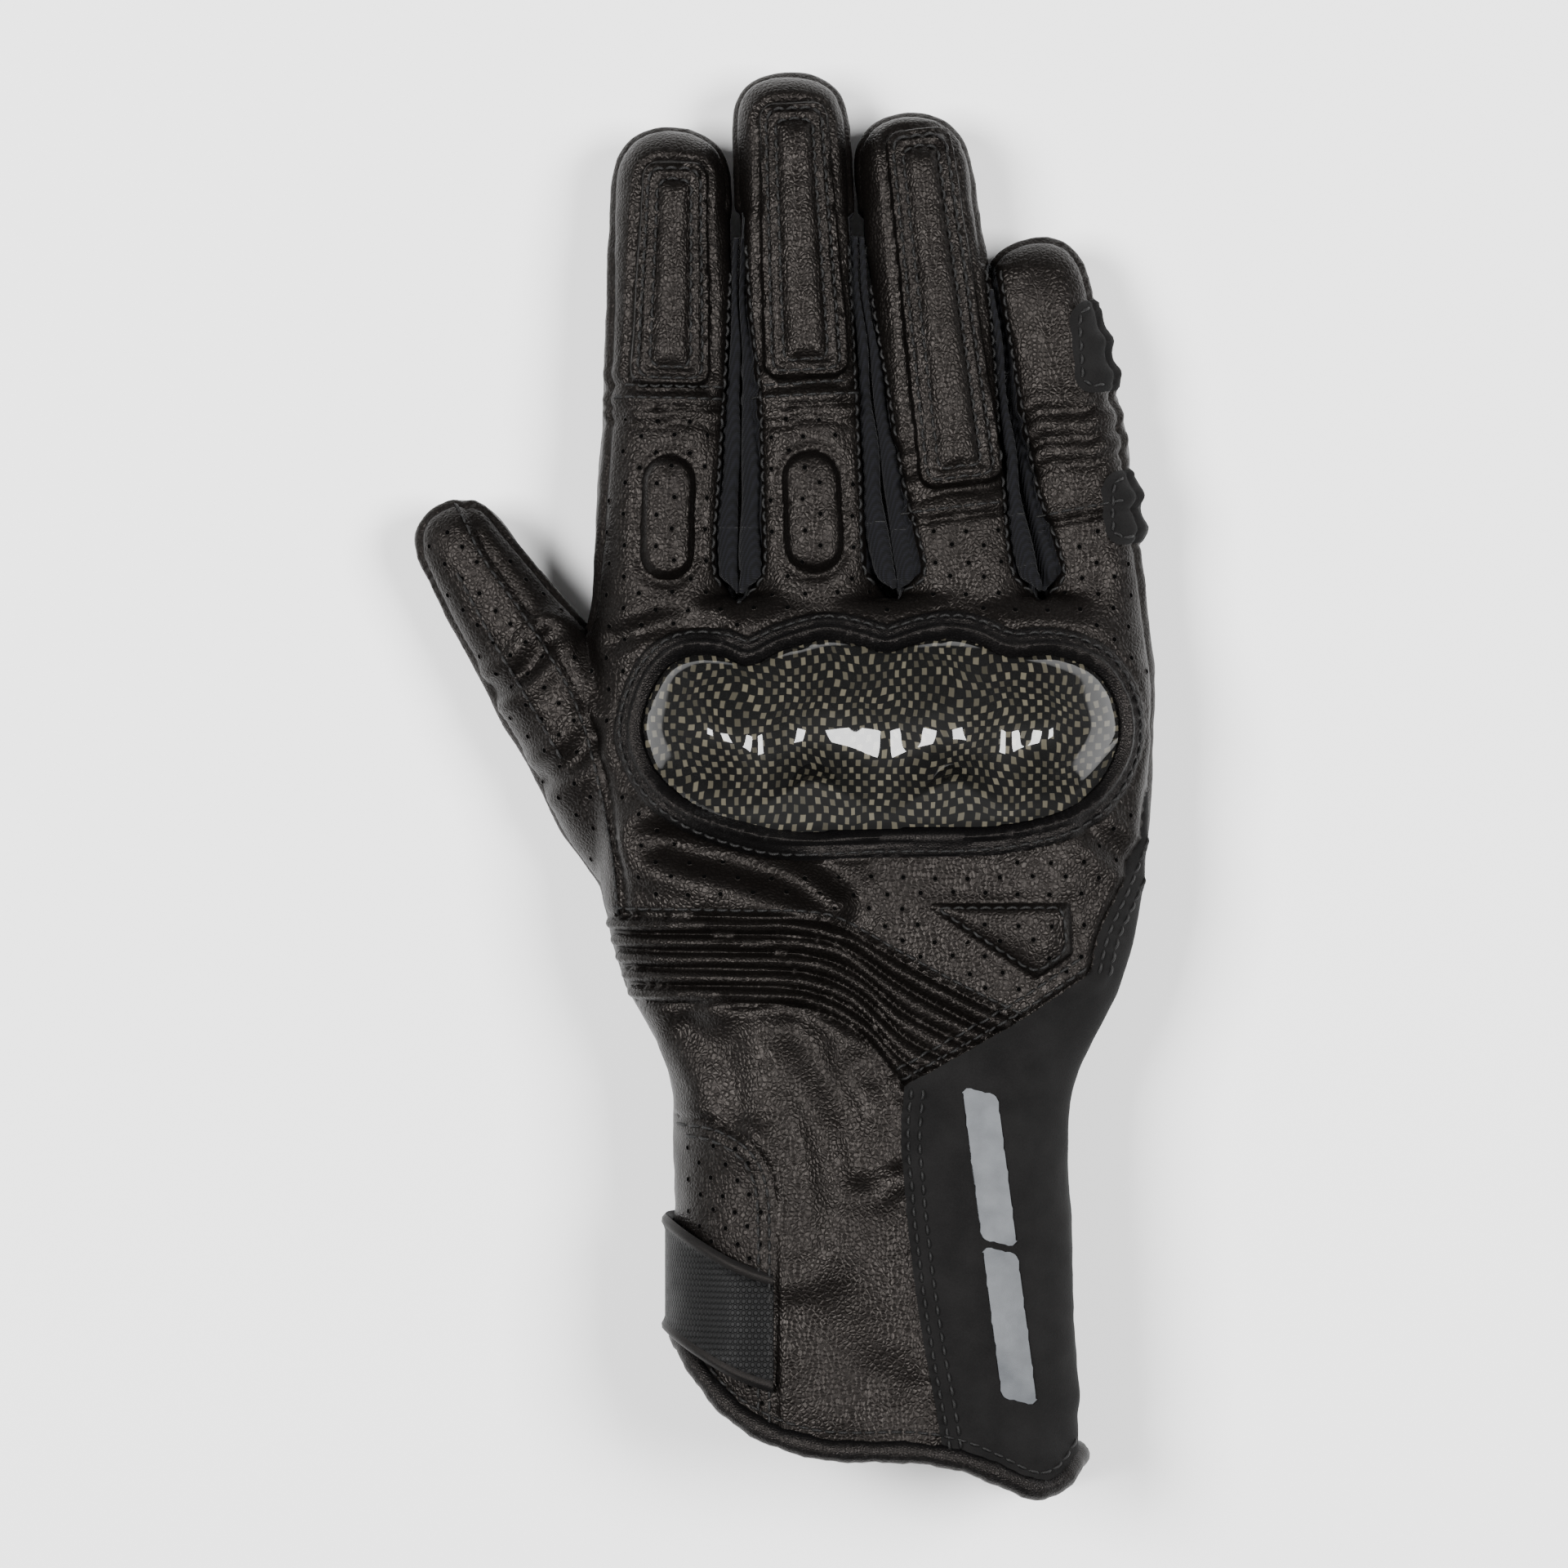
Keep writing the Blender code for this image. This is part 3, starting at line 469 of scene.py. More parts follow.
SEAMS = {
    "ulnar": [(51, 13), (48.6, 4), (47.0, -4.3), (43.4, -13), (40.1, -20), (38.4, -27.2)],
    "cuff_top": [(38.4, -27.2), (31.5, -31.8), (25.1, -35.8), (15.5, -41.2), (5.7, -46.6)],
    "cuff_side": [(5.7, -46.6), (5.2, -56), (6.5, -71.7), (8.6, -88), (11.8, -106), (12.6, -112)],
    "ribs_top": [(-50, -16.6), (-42.6, -17.2), (-25, -17.4), (-7.9, -18.2), (3, -23.6), (14, -29.6),
                 (25.8, -35.4)],
    "ribs_bottom": [(-50, -31.6), (-38, -32.3), (-24, -32.4), (-11.5, -33.2), (-2, -37.6), (5.7, -46.6)],
    "thumb": [(-72, 56), (-70.2, 53), (-66.7, 45.9), (-59.5, 35.8), (-52.3, 24.4), (-48.6, 15.5),
              (-45.6, 4), (-43.6, -7),
              (-42.6, -17.2)],
    "vent": [(-36, -51.5), (-33, -52.3), (-27, -53.0), (-20.5, -56.6), (-17.2, -62.5), (-16.4, -72),
             (-16.4, -99),
             (-16.4, -110)],
}
CURVES = {name: curve_through(points) for name, points in SEAMS.items()}
RIBS_FLOOR = curve_through(SEAMS["ribs_bottom"] + [(14.0, -50.8), (26.0, -56.5), (45.0, -66.0)])

# (digit, distance along its middle, across, half width, half length, corner radius, height, narrowing)
PADS = {
    "index_tip_pad": ("index", 57.0, 0.4, 6.4, 19.8, 2.9, 1.25, 0.13),
    "middle_tip_pad": ("middle", 63.0, 0.5, 6.7, 24.4, 2.9, 1.25, 0.12),
    "ring_tip_pad": ("ring", 51.4, 1.5, 6.6, 31.6, 2.9, 1.1, 0.13),
    "index_oval_pad": ("index", 14.2, 0.6, 4.6, 10.8, 4.5, 1.6, 0.0),
    "middle_oval_pad": ("middle", 15.2, 0.3, 5.1, 10.6, 4.9, 1.6, 0.0),
}
SIDE_PATCHES = {"little_upper_patch": (35.5, 52.0, 3.2), "little_lower_patch": (8.5, 21.5, 3.4)}
PATCH_BUMPS = {"little_upper_patch": (38.5, 44.5), "little_lower_patch": (11.0, 17.0)}
PALM_PAD_HALF = (24.0, 16.0)
FLEX_SEAMS = {"index": 33.5, "middle": 34.0, "ring": 14.5, "little": 14.5}
CREASES = {"index": (30.6, 36.8), "middle": (31.2, 37.6), "ring": (19.0, 23.5, 28.0),
           "little": (24.0, 28.5, 33.5)}
GUARD_OUTLINE = [(-39.9, 16.6), (-38.0, 22.6), (-34.8, 26.8), (-30.4, 28.6), (-25.8, 28.2), (-20.9, 26.6),
                 (-15.5, 29.2),
                 (-7.9, 31.2), (-2.0, 30.2), (2.9, 28.9), (8.2, 30.6), (14.2, 31.4), (19.3, 30.2),
                 (23.7, 28.2),
                 (32.0, 28.4), (38.6, 26.0), (42.4, 21.2), (43.6, 15.0), (42.2, 9.4), (38.6, 4.2),
                 (32.6, 0.4),
                 (20.6, -2.0), (2.3, -2.4), (-12.6, -2.9), (-21.5, -1.6), (-30.4, 1.6), (-36.4, 6.4),
                 (-39.2, 11.2)]
guard_distance = Outline(GUARD_OUTLINE)
BEZEL_WIDTH = 4.6
PATCH = [(9.3, -15.1), (34.4, -15.1), (35.1, -23.7), (28.7, -28.0)]


def rib_share(xy):
    """How far across the ribbed panel each point is, from its lower to its upper seam."""
    top = seam_y("ribs_top", xy[:, 0])
    bottom = np.interp(xy[:, 0], RIBS_FLOOR[:, 0], RIBS_FLOOR[:, 1])
    share = np.clip((xy[:, 1] - bottom) / (top - bottom), 0, 1)
    return np.where((xy[:, 0] < 5.7) | (xy[:, 1] > seam_y("cuff_top", xy[:, 0])), share, 0.0)


def pad_distance(name, xy):
    digit, s, across, half_width, half_length, radius, _, narrowing = PADS[name]
    along, side = DIGITS[digit].local(xy)
    taper = 1 - narrowing * np.clip((along - s) / half_length, -1, 1)
    return rounded_box((side - across) / taper, along - s, half_width, half_length, radius)


def side_patch_distance(name, xy):
    """Signed distance to a patch that wraps round the outer side of the little finger."""
    start, end, inner = SIDE_PATCHES[name]
    along, across = DIGITS["little"].local(xy)
    slant = 0.10 * (along - start)
    return rounded_box(across - slant - inner - 12, along - (start + end) / 2, 12, (end - start) / 2, 3.5)


def palm_pad_distance(xy):
    return rounded_box(xy[:, 0], xy[:, 1], *PALM_PAD_HALF, 9.0)


def polygon_distance(xy, corners, radius=0.0):
    """Signed distance to a convex plan polygon given clockwise."""
    loop = np.array(corners + corners[:1], float)
    distance, _ = polyline_distance(xy, loop)
    inside = np.ones(len(xy), bool)
    for a, b in zip(loop, loop[1:]):
        d = b - a
        inside &= d[0] * (xy[:, 1] - a[1]) - d[1] * (xy[:, 0] - a[0]) <= 0
    return np.where(inside, -distance, distance) - radius


def gap_distance(name, xy):
    """Distance outside the textile between two fingers in plan, negative on the textile."""
    rows = np.array(GAPS[name])
    low = np.interp(xy[:, 1], rows[:, 0], rows[:, 1])
    high = np.interp(xy[:, 1], rows[:, 0], rows[:, 2])
    return np.maximum(low - xy[:, 0], xy[:, 0] - high)


def gap_zone(name, xy):
    rows = np.array(GAPS[name])
    middle = np.interp(xy[:, 1], rows[:, 0], (rows[:, 1] + rows[:, 2]) / 2)
    return (np.abs(xy[:, 0] - middle) < 7.5) & (xy[:, 1] > rows[0, 0] - 1) & (xy[:, 1] < SIDE_END[name])


def hem_distance(xy):
    rows = np.array(HEM)
    return xy[:, 1] - np.interp(xy[:, 0], rows[:, 0], rows[:, 1])


def side_level(xy):
    """How steep the skin is where the back of the glove meets its palm."""
    return np.interp(xy[:, 1], [-40, 0, 36, 50, 95, 110], [0.0, 0.05, 0.35, 0.48, 0.46, 0.25])


def cut_seams(surface):
    """Runs edges along every seam and every border between domains."""
    def plan():
        return surface.points[:, :2]

    def upper():
        return surface.up[:, 2] > -0.02

    surface.split(hem_distance(plan()), plan()[:, 1] < -80)
    surface.faces = surface.faces[hem_distance(surface.centres()[:, :2]) > 0]
    for name in FINGERS:
        (start, _), _, cut = BEND_ZONES[name]
        for stop in (start, cut):
            along, across = DIGITS[name].local(plan())
            nearer = np.abs(across) < 14
            surface.split(along - stop, nearer & (np.abs(along - stop) < 3))
    for stop in (THUMB_WEB[0], THUMB_CUT):
        reach = plan() @ THUMB_DIRECTION - stop
        near_thumb = (plan()[:, 0] < -48.2) & (plan()[:, 1] < 50) & (np.abs(reach) < 3)
        surface.split(reach, near_thumb)
    for name, end in SIDE_END.items():
        surface.split(plan()[:, 1] - end,
                      (np.abs(plan()[:, 1] - end) < 3) & (np.abs(surface.up[:, 2]) < 0.75))
        surface.split(gap_distance(name, plan()), gap_zone(name, plan()) & (surface.up[:, 2] > -0.25))
        surface.split((surface.up[:, 2] + 0.5) * 8, gap_zone(name, plan()) & (surface.up[:, 2] < -0.1),
                      0.05)
    between_fingers = np.any([gap_zone(name, plan()) for name in GAPS], axis=0)
    surface.split((surface.up[:, 2] - side_level(plan())) * 12, ~between_fingers, 0.05)
    for name in PADS:
        for inset in ((0.0, 1.2) if "oval" in name else (0.0, 0.75, 1.45, 2.35, 3.3)):
            d = pad_distance(name, plan()) + inset
            surface.split(d, upper() & (np.abs(d) < 3), 0.08)
    for name in FINGERS:
        along, across = DIGITS[name].local(plan())
        d = along - FLEX_SEAMS[name]
        surface.split(d, upper() & (np.abs(d) < 3) & (np.abs(across) < 12))
    for name in SIDE_PATCHES:
        d = side_patch_distance(name, plan())
        surface.split(d, (np.abs(d) < 3) & (surface.up[:, 2] > -0.7) & (plan()[:, 0] > 28))
    surface.split((surface.up[:, 2] + 0.6) * 10, (plan()[:, 0] > 30) & (plan()[:, 1] > 40), 0.05)
    surface.split(palm_pad_distance(plan()),
                  (surface.up[:, 2] < 0) & (np.abs(palm_pad_distance(plan())) < 3))
    for offset in (0.0, 1.2, 2.1, 2.95, 3.5, 4.0, BEZEL_WIDTH):
        surface.split(guard_distance(plan()) - offset,
                      upper() & (np.abs(guard_distance(plan()) - offset) < 3))
    surface.split(polygon_distance(plan(), PATCH), upper() & (np.abs(polygon_distance(plan(), PATCH)) < 3))
    for stop in (-44.0, -31.5):
        surface.split(plan()[:, 1] - stop, (surface.up[:, 2] < 0.2) & (np.abs(plan()[:, 1] - stop) < 3))
    for name, line in CURVES.items():
        distance, side = polyline_distance(plan(), line)
        surface.split(distance * side, upper() & (distance < 2.5))
    for k in range(1, 20):
        share = rib_share(plan())
        surface.split((share - k / 20) * 10, upper() & (share > 0) & (share < 1), 0.03)


def seam_y(name, x):
    """Where a seam that runs across the hand stands at each x."""
    line = CURVES[name][np.argsort(CURVES[name][:, 0])]
    return np.interp(x, line[:, 0], line[:, 1])


def seam_x(name, y):
    """Where a seam that runs along the hand stands at each y."""
    line = CURVES[name][np.argsort(CURVES[name][:, 1])]
    return np.interp(y, line[:, 1], line[:, 0])


def panels_of(surface):
    """The name of the panel that each face belongs to."""
    centres = surface.centres()
    xy, y = centres[:, :2], centres[:, 1]
    rise = surface.up[surface.faces][:, :, 2].mean(axis=1)
    names = np.where(rise > side_level(xy), "back", "palm").astype(object)
    for name in GAPS:
        zone = gap_zone(name, xy)
        names[zone] = np.where(gap_distance(name, xy)[zone] > 0, "back", "side")
        names[zone & (rise < -0.5)] = "palm"
        names[zone & (rise < -0.1) & (rise >= -0.5)] = "side"
    back = names == "back"
    x = xy[:, 0]
    bezel = back & (guard_distance(xy) < BEZEL_WIDTH)
    ulnar = back & (x > seam_x("ulnar", y)) & (y < 13) & (y > seam_y("cuff_top", x)) & (x > 24)
    ribs = back & ~ulnar & (y < seam_y("ribs_top", x)) & (y > seam_y("ribs_bottom", x)) & (y > -47)
    ribs &= (x < 5.7) | (y > seam_y("cuff_top", x))
    cuff = back & ~ulnar & ~ribs & (y < np.where(x > 5.7, seam_y("cuff_top", x),
                                                 seam_y("ribs_bottom", x))) & (y < -25)
    names[ulnar] = "ulnar"
    names[ribs & (x < 38)] = "ribs"
    names[cuff] = "cuff_back"
    names[cuff & (x > seam_x("cuff_side", y))] = "cuff_ulnar"
    names[cuff & (x < -16.4) & (y < seam_y("vent", x))] = "vent"
    for name in PADS:
        names[back & (pad_distance(name, xy) < 0)] = name
    for name in SIDE_PATCHES:
        names[(side_patch_distance(name, xy) < 0) & (rise > -0.6) & (digit_of(xy) == 3)] = name
    names[(palm_pad_distance(xy) < 0) & (rise < 0)] = "palm_pad"
    names[bezel & (y > -10)] = "bezel"
    names[back & (guard_distance(xy) < 0)] = "guard_bed"
    names[back & (polygon_distance(xy, PATCH) < 0)] = "patch"
    names[back & (x < -42) & (names == "back") & (x < seam_x("thumb", y)) & (y < 55)
          & (y > -16.9)] = "thumb_back"
    names[(names == "palm") & (y < -44)] = "cuff_palm"
    names[(names == "palm") & (y < -31.5)] = "elastic"
    return names


# ---------------------------------------------------------------- relief

FOLDS = [  # (line, depth, width): soft valleys in the leather
    ([(-36, -4.2), (-30.8, -5.7), (-15, -10), (-6.5, -15.8)], 2.0, 3.0),
    ([(-13.6, -36.7), (-9.0, -43), (-3.5, -52.2), (-1.5, -60)], 1.3, 3.2),
    ([(-0.7, -42.6), (3.2, -49), (4.8, -58)], 1.0, 2.6),
    ([(-31, -36), (-25, -44), (-23, -51)], 1.0, 3.2),
    ([(-22, -38), (-16, -47), (-12, -60), (-12, -74)], 0.8, 3.6),
    ([(12, -50), (18, -56), (20, -66)], 0.8, 3.4),
    ([(20, -98), (25, -104), (33, -106)], 1.0, 3.4),
    ([(-9, -84), (-3, -94), (5, -101)], 0.6, 4.5),
    ([(-66, 22), (-60, 26), (-56.5, 31)], 0.9, 1.8),
    ([(-58, 6), (-52, 10), (-49, 14)], 0.9, 2.0),
    ([(-44, 31), (-36, 33.6), (-28, 33)], 0.7, 1.8),
    ([(38, -2), (43, -6), (46, -8)], 0.7, 2.0),
]
PALM_SEAMS = [curve_through(line) for line in (
    [(-46, -13), (-34, -8), (-29, 4), (-30, 18), (-38, 31)],
    [(-27, 33.5), (-14, 31), (0, 32), (14, 31), (28, 32), (45, 30)],
    [(45, -16), (34, -14), (30, 0), (33, 16), (45, 24)])]
FOLD_LINES = [(curve_through(line), depth, width) for line, depth, width in FOLDS]


def noise_at(points, size, seed):
    offset = Vector((seed * 7.1, seed * 3.3, seed * 5.7))
    return np.array([noise.noise(Vector(p) / size + offset) for p in points])


def pad_relief(distance, height):
    """A foam pad under leather: a lip, a channel along each of two stitch rows, and a crowned middle."""
    h = height * smooth(-distance, -0.35, 0.95)
    h -= 0.5 * bump(distance + 1.45, 0.45) + 0.55 * bump(distance + 3.3, 0.5)
    return h + 0.75 * smooth(-distance, 3.0, 6.2) - 0.8 * bump(distance - 0.45, 0.6)


def shape_relief(surface, panels_at):
    """Moves the points off the plain body: pads, ribs, ridges, seams, folds and wrinkles."""
    points, up = surface.points, surface.up
    xy, x, y = points[:, :2], points[:, 0], points[:, 1]
    dorsal = smooth(up[:, 2], 0.0, 0.4)
    digit = digit_of(xy)
    h = 0.50 * noise_at(points, 13.0, 1) + 0.17 * noise_at(points * np.array([1, 1.7, 1]), 5.5, 2)
    h += 0.03 * noise_at(points * np.array([0.8, 1.9, 1]), 2.6, 3)
    h += 0.26 * smooth(-y, 40.0, 56.0) * noise_at(points * np.array([1.5, 0.55, 1]), 11.0, 4)
    for name in PADS:
        height = PADS[name][6]
        d = pad_distance(name, xy)
        if "oval" in name:
            h += dorsal * (height * smooth(-d, -0.3, 1.5) + 0.6 * smooth(-d, 0.5, 4.5) - 0.75
                           * bump(d - 0.5, 0.7))
        else:
            h += dorsal * pad_relief(d, height)
    for name in GAPS:
        zone = gap_zone(name, xy) & (up[:, 2] > -0.3)
        d = gap_distance(name, xy)
        h[zone] += (-0.55 * bump(d, 0.5) + 0.3 * bump(d - 1.6, 1.1))[zone]
        inside = zone & (d < 0)
        h[inside] += 0.35 * bump(d[inside] + 1.5, 0.8)
        h -= 0.45 * gap_zone(name, xy) * (1 - smooth(up[:, 2], 0.1, 0.5))
        low = gap_zone(name, xy) & (up[:, 2] < 0)
        h[low] -= 0.4 * bump((up[low, 2] + 0.5) * 10, 0.5)
    outer = ~np.any([gap_zone(name, xy) for name in GAPS], axis=0)
    level = (up[:, 2] - side_level(xy)) * 11
    h[outer & (y > -30)] += (0.4 * bump(level + 1.7, 1.0) - 0.5 * bump(level, 0.5))[outer & (y > -30)]
    nowhere = np.zeros(len(xy), bool)
    for i, name in enumerate(FINGERS):
        along, across = DIGITS[name].local(xy)
        wave = 0.5 * np.sin(across * 0.5 + i) + 0.25 * np.sin(across * 1.3 + 2 * i)
        padded = [pad_distance(pad, xy) < 0.4 for pad in PADS if pad.startswith(name)]
        mine = (digit == i) & ~np.any([nowhere] + padded, axis=0)
        for crease in CREASES[name]:
            h[mine] -= (0.55 * dorsal * bump(along - crease - wave, 0.75))[mine]
            h[mine] += (0.4 * dorsal * bump(along - crease - wave - 2.4, 1.4))[mine]
        h[mine] -= (0.6 * dorsal * bump(along - FLEX_SEAMS[name], 0.5))[mine]
        h[mine] += (0.35 * dorsal * bump(along - FLEX_SEAMS[name] - 1.6, 1.0))[mine]
    g = guard_distance(xy)
    near = dorsal * (y > -12) * (g < 9)
    h += near * (1.9 * bump(g - 1.2, 0.95) + 0.75 * bump(g - 2.95, 0.5) + 0.65 * bump(g - 4.0, 0.45))
    h -= near * (0.35 * bump(g - BEZEL_WIDTH, 0.5) + 0.9 * smooth(-g, 0.0, 1.0))
    share = rib_share(xy)
    ribs = dorsal * ((share > 0) & (share < 1) & (panels_at == "ribs"))
    h += ribs * (1.8 * np.abs(np.sin(share * np.pi * 5)) ** 0.75 - 0.9)
    for name, stops in PATCH_BUMPS.items():
        d = side_patch_distance(name, xy)
        along, across = DIGITS["little"].local(xy)
        on = (digit == 3) * smooth(up[:, 2], -0.75, -0.5)
        h += on * (0.75 * smooth(-d, -0.3, 0.9) - 0.35 * bump(d - 0.4, 0.5) - 0.3 * bump(d + 1.4, 0.4))
        for stop in stops:
            h += on * 1.0 * bump(along - stop, 1.5) * smooth(across, 5.5, 9.5)
    h += smooth(-up[:, 2], 0.5, 0.9) * (1.0 * smooth(-palm_pad_distance(xy), -0.5, 1.6))
    d = polygon_distance(xy, PATCH)
    h += dorsal * (1.35 * smooth(-d, -0.35, 1.3) + 0.5 * smooth(-d, 1.3, 4.5) - 0.45 * bump(d - 0.5, 0.6))
    for name, line in CURVES.items():
        distance, _ = polyline_distance(xy, line)
        h += dorsal * (-0.5 * bump(distance, 0.5) + 0.28 * bump(distance - 1.7, 1.2) * (distance > 0))
    h += dorsal * 0.45 * np.isin(panels_at, ["ulnar", "cuff_ulnar"])
    h -= dorsal * 0.25 * (panels_at == "vent")
    for line in PALM_SEAMS:
        distance, _ = polyline_distance(xy, line)
        h += smooth(-up[:, 2], 0.3, 0.7) * (0.3 * bump(distance - 1.6, 1.1) - 0.5 * bump(distance, 0.6))
    for line, depth, width in FOLD_LINES:
        distance, _ = polyline_distance(xy, line)
        h -= 1.25 * dorsal * depth * bump(distance, width)
        h += 0.7 * dorsal * depth * bump(distance - 1.9 * width, width)
    surface.points = points + up * h[:, None]
    surface.relax(1, 0.25)
    surface.points[:, 2] = np.maximum(surface.points[:, 2], 0.6)


def panel_of_points(surface, names):
    """One panel name for each point."""
    result = np.full(len(surface.points), "", dtype=object)
    for k in range(3):
        result[surface.faces[:, k]] = names
    return result


# ---------------------------------------------------------------- materials

class Nodes:
    """Builds a Principled material node by node."""

    def __init__(self, name, roughness=0.5, **values):
        self.material = bpy.data.materials.new(name)
        self.material.use_nodes = True
        self.tree = self.material.node_tree
        self.shader = self.tree.nodes["Principled BSDF"]
        self.set(self.shader, roughness=roughness, **values)
        self.coordinates = self.add("ShaderNodeTexCoord").outputs["Object"]

    def set(self, node, **values):
        for key, value in values.items():
            socket = next(k for k in node.inputs if k.name.lower().replace(" ", "_") == key)
            is_colour = isinstance(value, tuple) and socket.type == "RGBA"
            socket.default_value = (*value, 1.0) if is_colour else value

    def add(self, kind, inputs=None, **settings):
        node = self.tree.nodes.new(kind)
        for key, value in settings.items():
            setattr(node, key, value)
        for key, value in (inputs or {}).items():
            if isinstance(value, bpy.types.NodeSocket):
                self.tree.links.new(value, node.inputs[key])
            else:
                node.inputs[key].default_value = value
        return node

    def noise(self, size, detail=3.0, where=None):
        """Noise whose features are about this many millimetres."""
        return self.add("ShaderNodeTexNoise", {"Vector": where or self.coordinates, "Scale": 1000.0 / size,
                                               "Detail": detail}).outputs["Fac"]

    def cells(self, size, feature="F1", where=None):
        node = self.add("ShaderNodeTexVoronoi",
                        {"Vector": where or self.coordinates, "Scale": 1000.0 / size}, feature=feature)
        return node.outputs["Distance"]

    def math(self, operation, a, b=0.5, clamp=False):
        return self.add("ShaderNodeMath", {0: a, 1: b}, operation=operation, use_clamp=clamp).outputs[0]

    def remap(self, value, low, high, to_low=0.0, to_high=1.0):
        return self.add("ShaderNodeMapRange",
                        {"Value": value, "From Min": low, "From Max": high, "To Min": to_low,
                                               "To Max": to_high}).outputs[0]

    def mix(self, share, a, b):
        node = self.add("ShaderNodeMix", data_type="RGBA")
        for socket, value in zip((node.inputs[0], node.inputs[6], node.inputs[7]), (share, a, b)):
            if isinstance(value, bpy.types.NodeSocket):
                self.tree.links.new(value, socket)
            else:
                socket.default_value = (*value, 1.0) if isinstance(value, tuple) else value
        return node.outputs[2]

    def finish(self, colour=None, roughness=None, height=None, depth=0.1, strength=1.0):
        if colour is not None:
            self.tree.links.new(colour, self.shader.inputs["Base Color"])
        if roughness is not None:
            self.tree.links.new(roughness, self.shader.inputs["Roughness"])
        if height is not None:
            relief = self.add("ShaderNodeBump",
                              {"Height": height, "Distance": depth * MM, "Strength": strength})
            self.tree.links.new(relief.outputs[0], self.shader.inputs["Normal"])
        return self.material


def leather(name, dark, light, roughness, grain=0.8, depth=0.06, gloss=0.14):
    """Dyed goat leather: raised pebbles between fine creases, with tone changes, painted sheen on the
    pebble tops and painted shade in the creases, in soft patches of wear.
    """
    n = Nodes(name, roughness=roughness, specular_ior_level=gloss, specular_tint=(1.0, 0.90, 0.84))
    wander = n.add("ShaderNodeTexNoise", {"Vector": n.coordinates, "Scale": 500.0}).outputs["Color"]
    scatter = n.add("ShaderNodeVectorMath", {0: wander, 3: 0.7 * grain * MM}, operation="SCALE").outputs[0]
    place = n.add("ShaderNodeVectorMath", {0: n.coordinates, 1: scatter}, operation="ADD").outputs[0]
    raised = n.remap(n.cells(grain, "DISTANCE_TO_EDGE", place), 0.0, 0.30)
    height = n.math("ADD", raised, n.math("MULTIPLY", n.noise(0.35, 2.0), 0.35))
    tone = n.remap(n.noise(16.0, 4.0), 0.35, 0.7)
    # painted shade in the creases and painted sheen on the pebble tops: the lighter colour follows the
    # pebbles' height, in soft patches of wear
    wear_and_crease_shade = n.math("MULTIPLY", raised, n.remap(n.noise(9.0, 3.0), 0.3, 0.75, 0.2, 1.0))
    base = n.mix(tone, dark, tuple(c * 1.35 for c in dark))
    colour = n.mix(wear_and_crease_shade, base, light)
    patchy = n.math("ADD", n.noise(11.0, 3.0), n.math("MULTIPLY", raised, -0.12))
    shine = n.remap(patchy, 0.1, 0.75, roughness - 0.05, roughness + 0.10)
    return n.finish(colour, shine, height, depth)


def suede(name, dark, light):
    """Short nap: a cloudy tone with fine fibres and no shine."""
    n = Nodes(name, roughness=0.95, specular_ior_level=0.1, sheen_weight=0.03, sheen_roughness=0.5)
    nap = n.noise(0.3, 4.0)
    cloud = n.remap(n.noise(6.0, 4.0), 0.3, 0.7)
    colour = n.mix(n.math("MULTIPLY_ADD", nap, 0.6, True), dark, light)
    n.tree.links.new(n.math("MULTIPLY", cloud, 0.4), colour.node.inputs[0].links[0].from_node.inputs[2])
    return n.finish(colour, None, nap, 0.09)


def textile(name, dark, light):
    """Stretch twill: slanting ribs crossed by the yarn."""
    n = Nodes(name, roughness=0.85, specular_ior_level=0.15, sheen_weight=0.03)
    slant = n.add("ShaderNodeMapping", {"Vector": n.coordinates, "Rotation": (0.5, 0.9, 0.6)})
    wave = n.add("ShaderNodeTexWave",
                 {"Vector": slant.outputs[0], "Scale": 520.0, "Distortion": 0.6,
                  "Detail": 1.0}).outputs["Fac"]
    cross = n.add("ShaderNodeTexWave", {"Vector": n.coordinates, "Scale": 900.0, "Distortion": 0.4},
                  bands_direction="Y").outputs["Fac"]
    height = n.math("MULTIPLY_ADD", cross, 0.4)
    n.tree.links.new(wave, height.node.inputs[2])
    return n.finish(n.mix(n.remap(height, 0.2, 1.2), dark, light), None, height, 0.16)


def thread(name):
    """Waxed polyester thread, with its twist as fine slanting ridges."""
    n = Nodes(name, roughness=0.6, specular_ior_level=0.25)
    twist = n.add("ShaderNodeTexWave", {"Vector": n.coordinates, "Scale": 1400.0, "Distortion": 1.0},
                  bands_direction="DIAGONAL")
    colour = n.mix(twist.outputs["Fac"], (0.0022, 0.0021, 0.0021), (0.0078, 0.0074, 0.0072))
    return n.finish(colour, None, twist.outputs["Fac"], 0.05)


def painted_hole_shade(name):
    """Painted shade: the near-black disc inside each perforation's rim, set where the hole's depth would be
    dark.
    """
    n = Nodes(name, roughness=1.0, specular_ior_level=0.0)
    return n.finish(n.mix(n.noise(0.3), (0.0006, 0.0006, 0.0006), (0.002, 0.002, 0.002)))


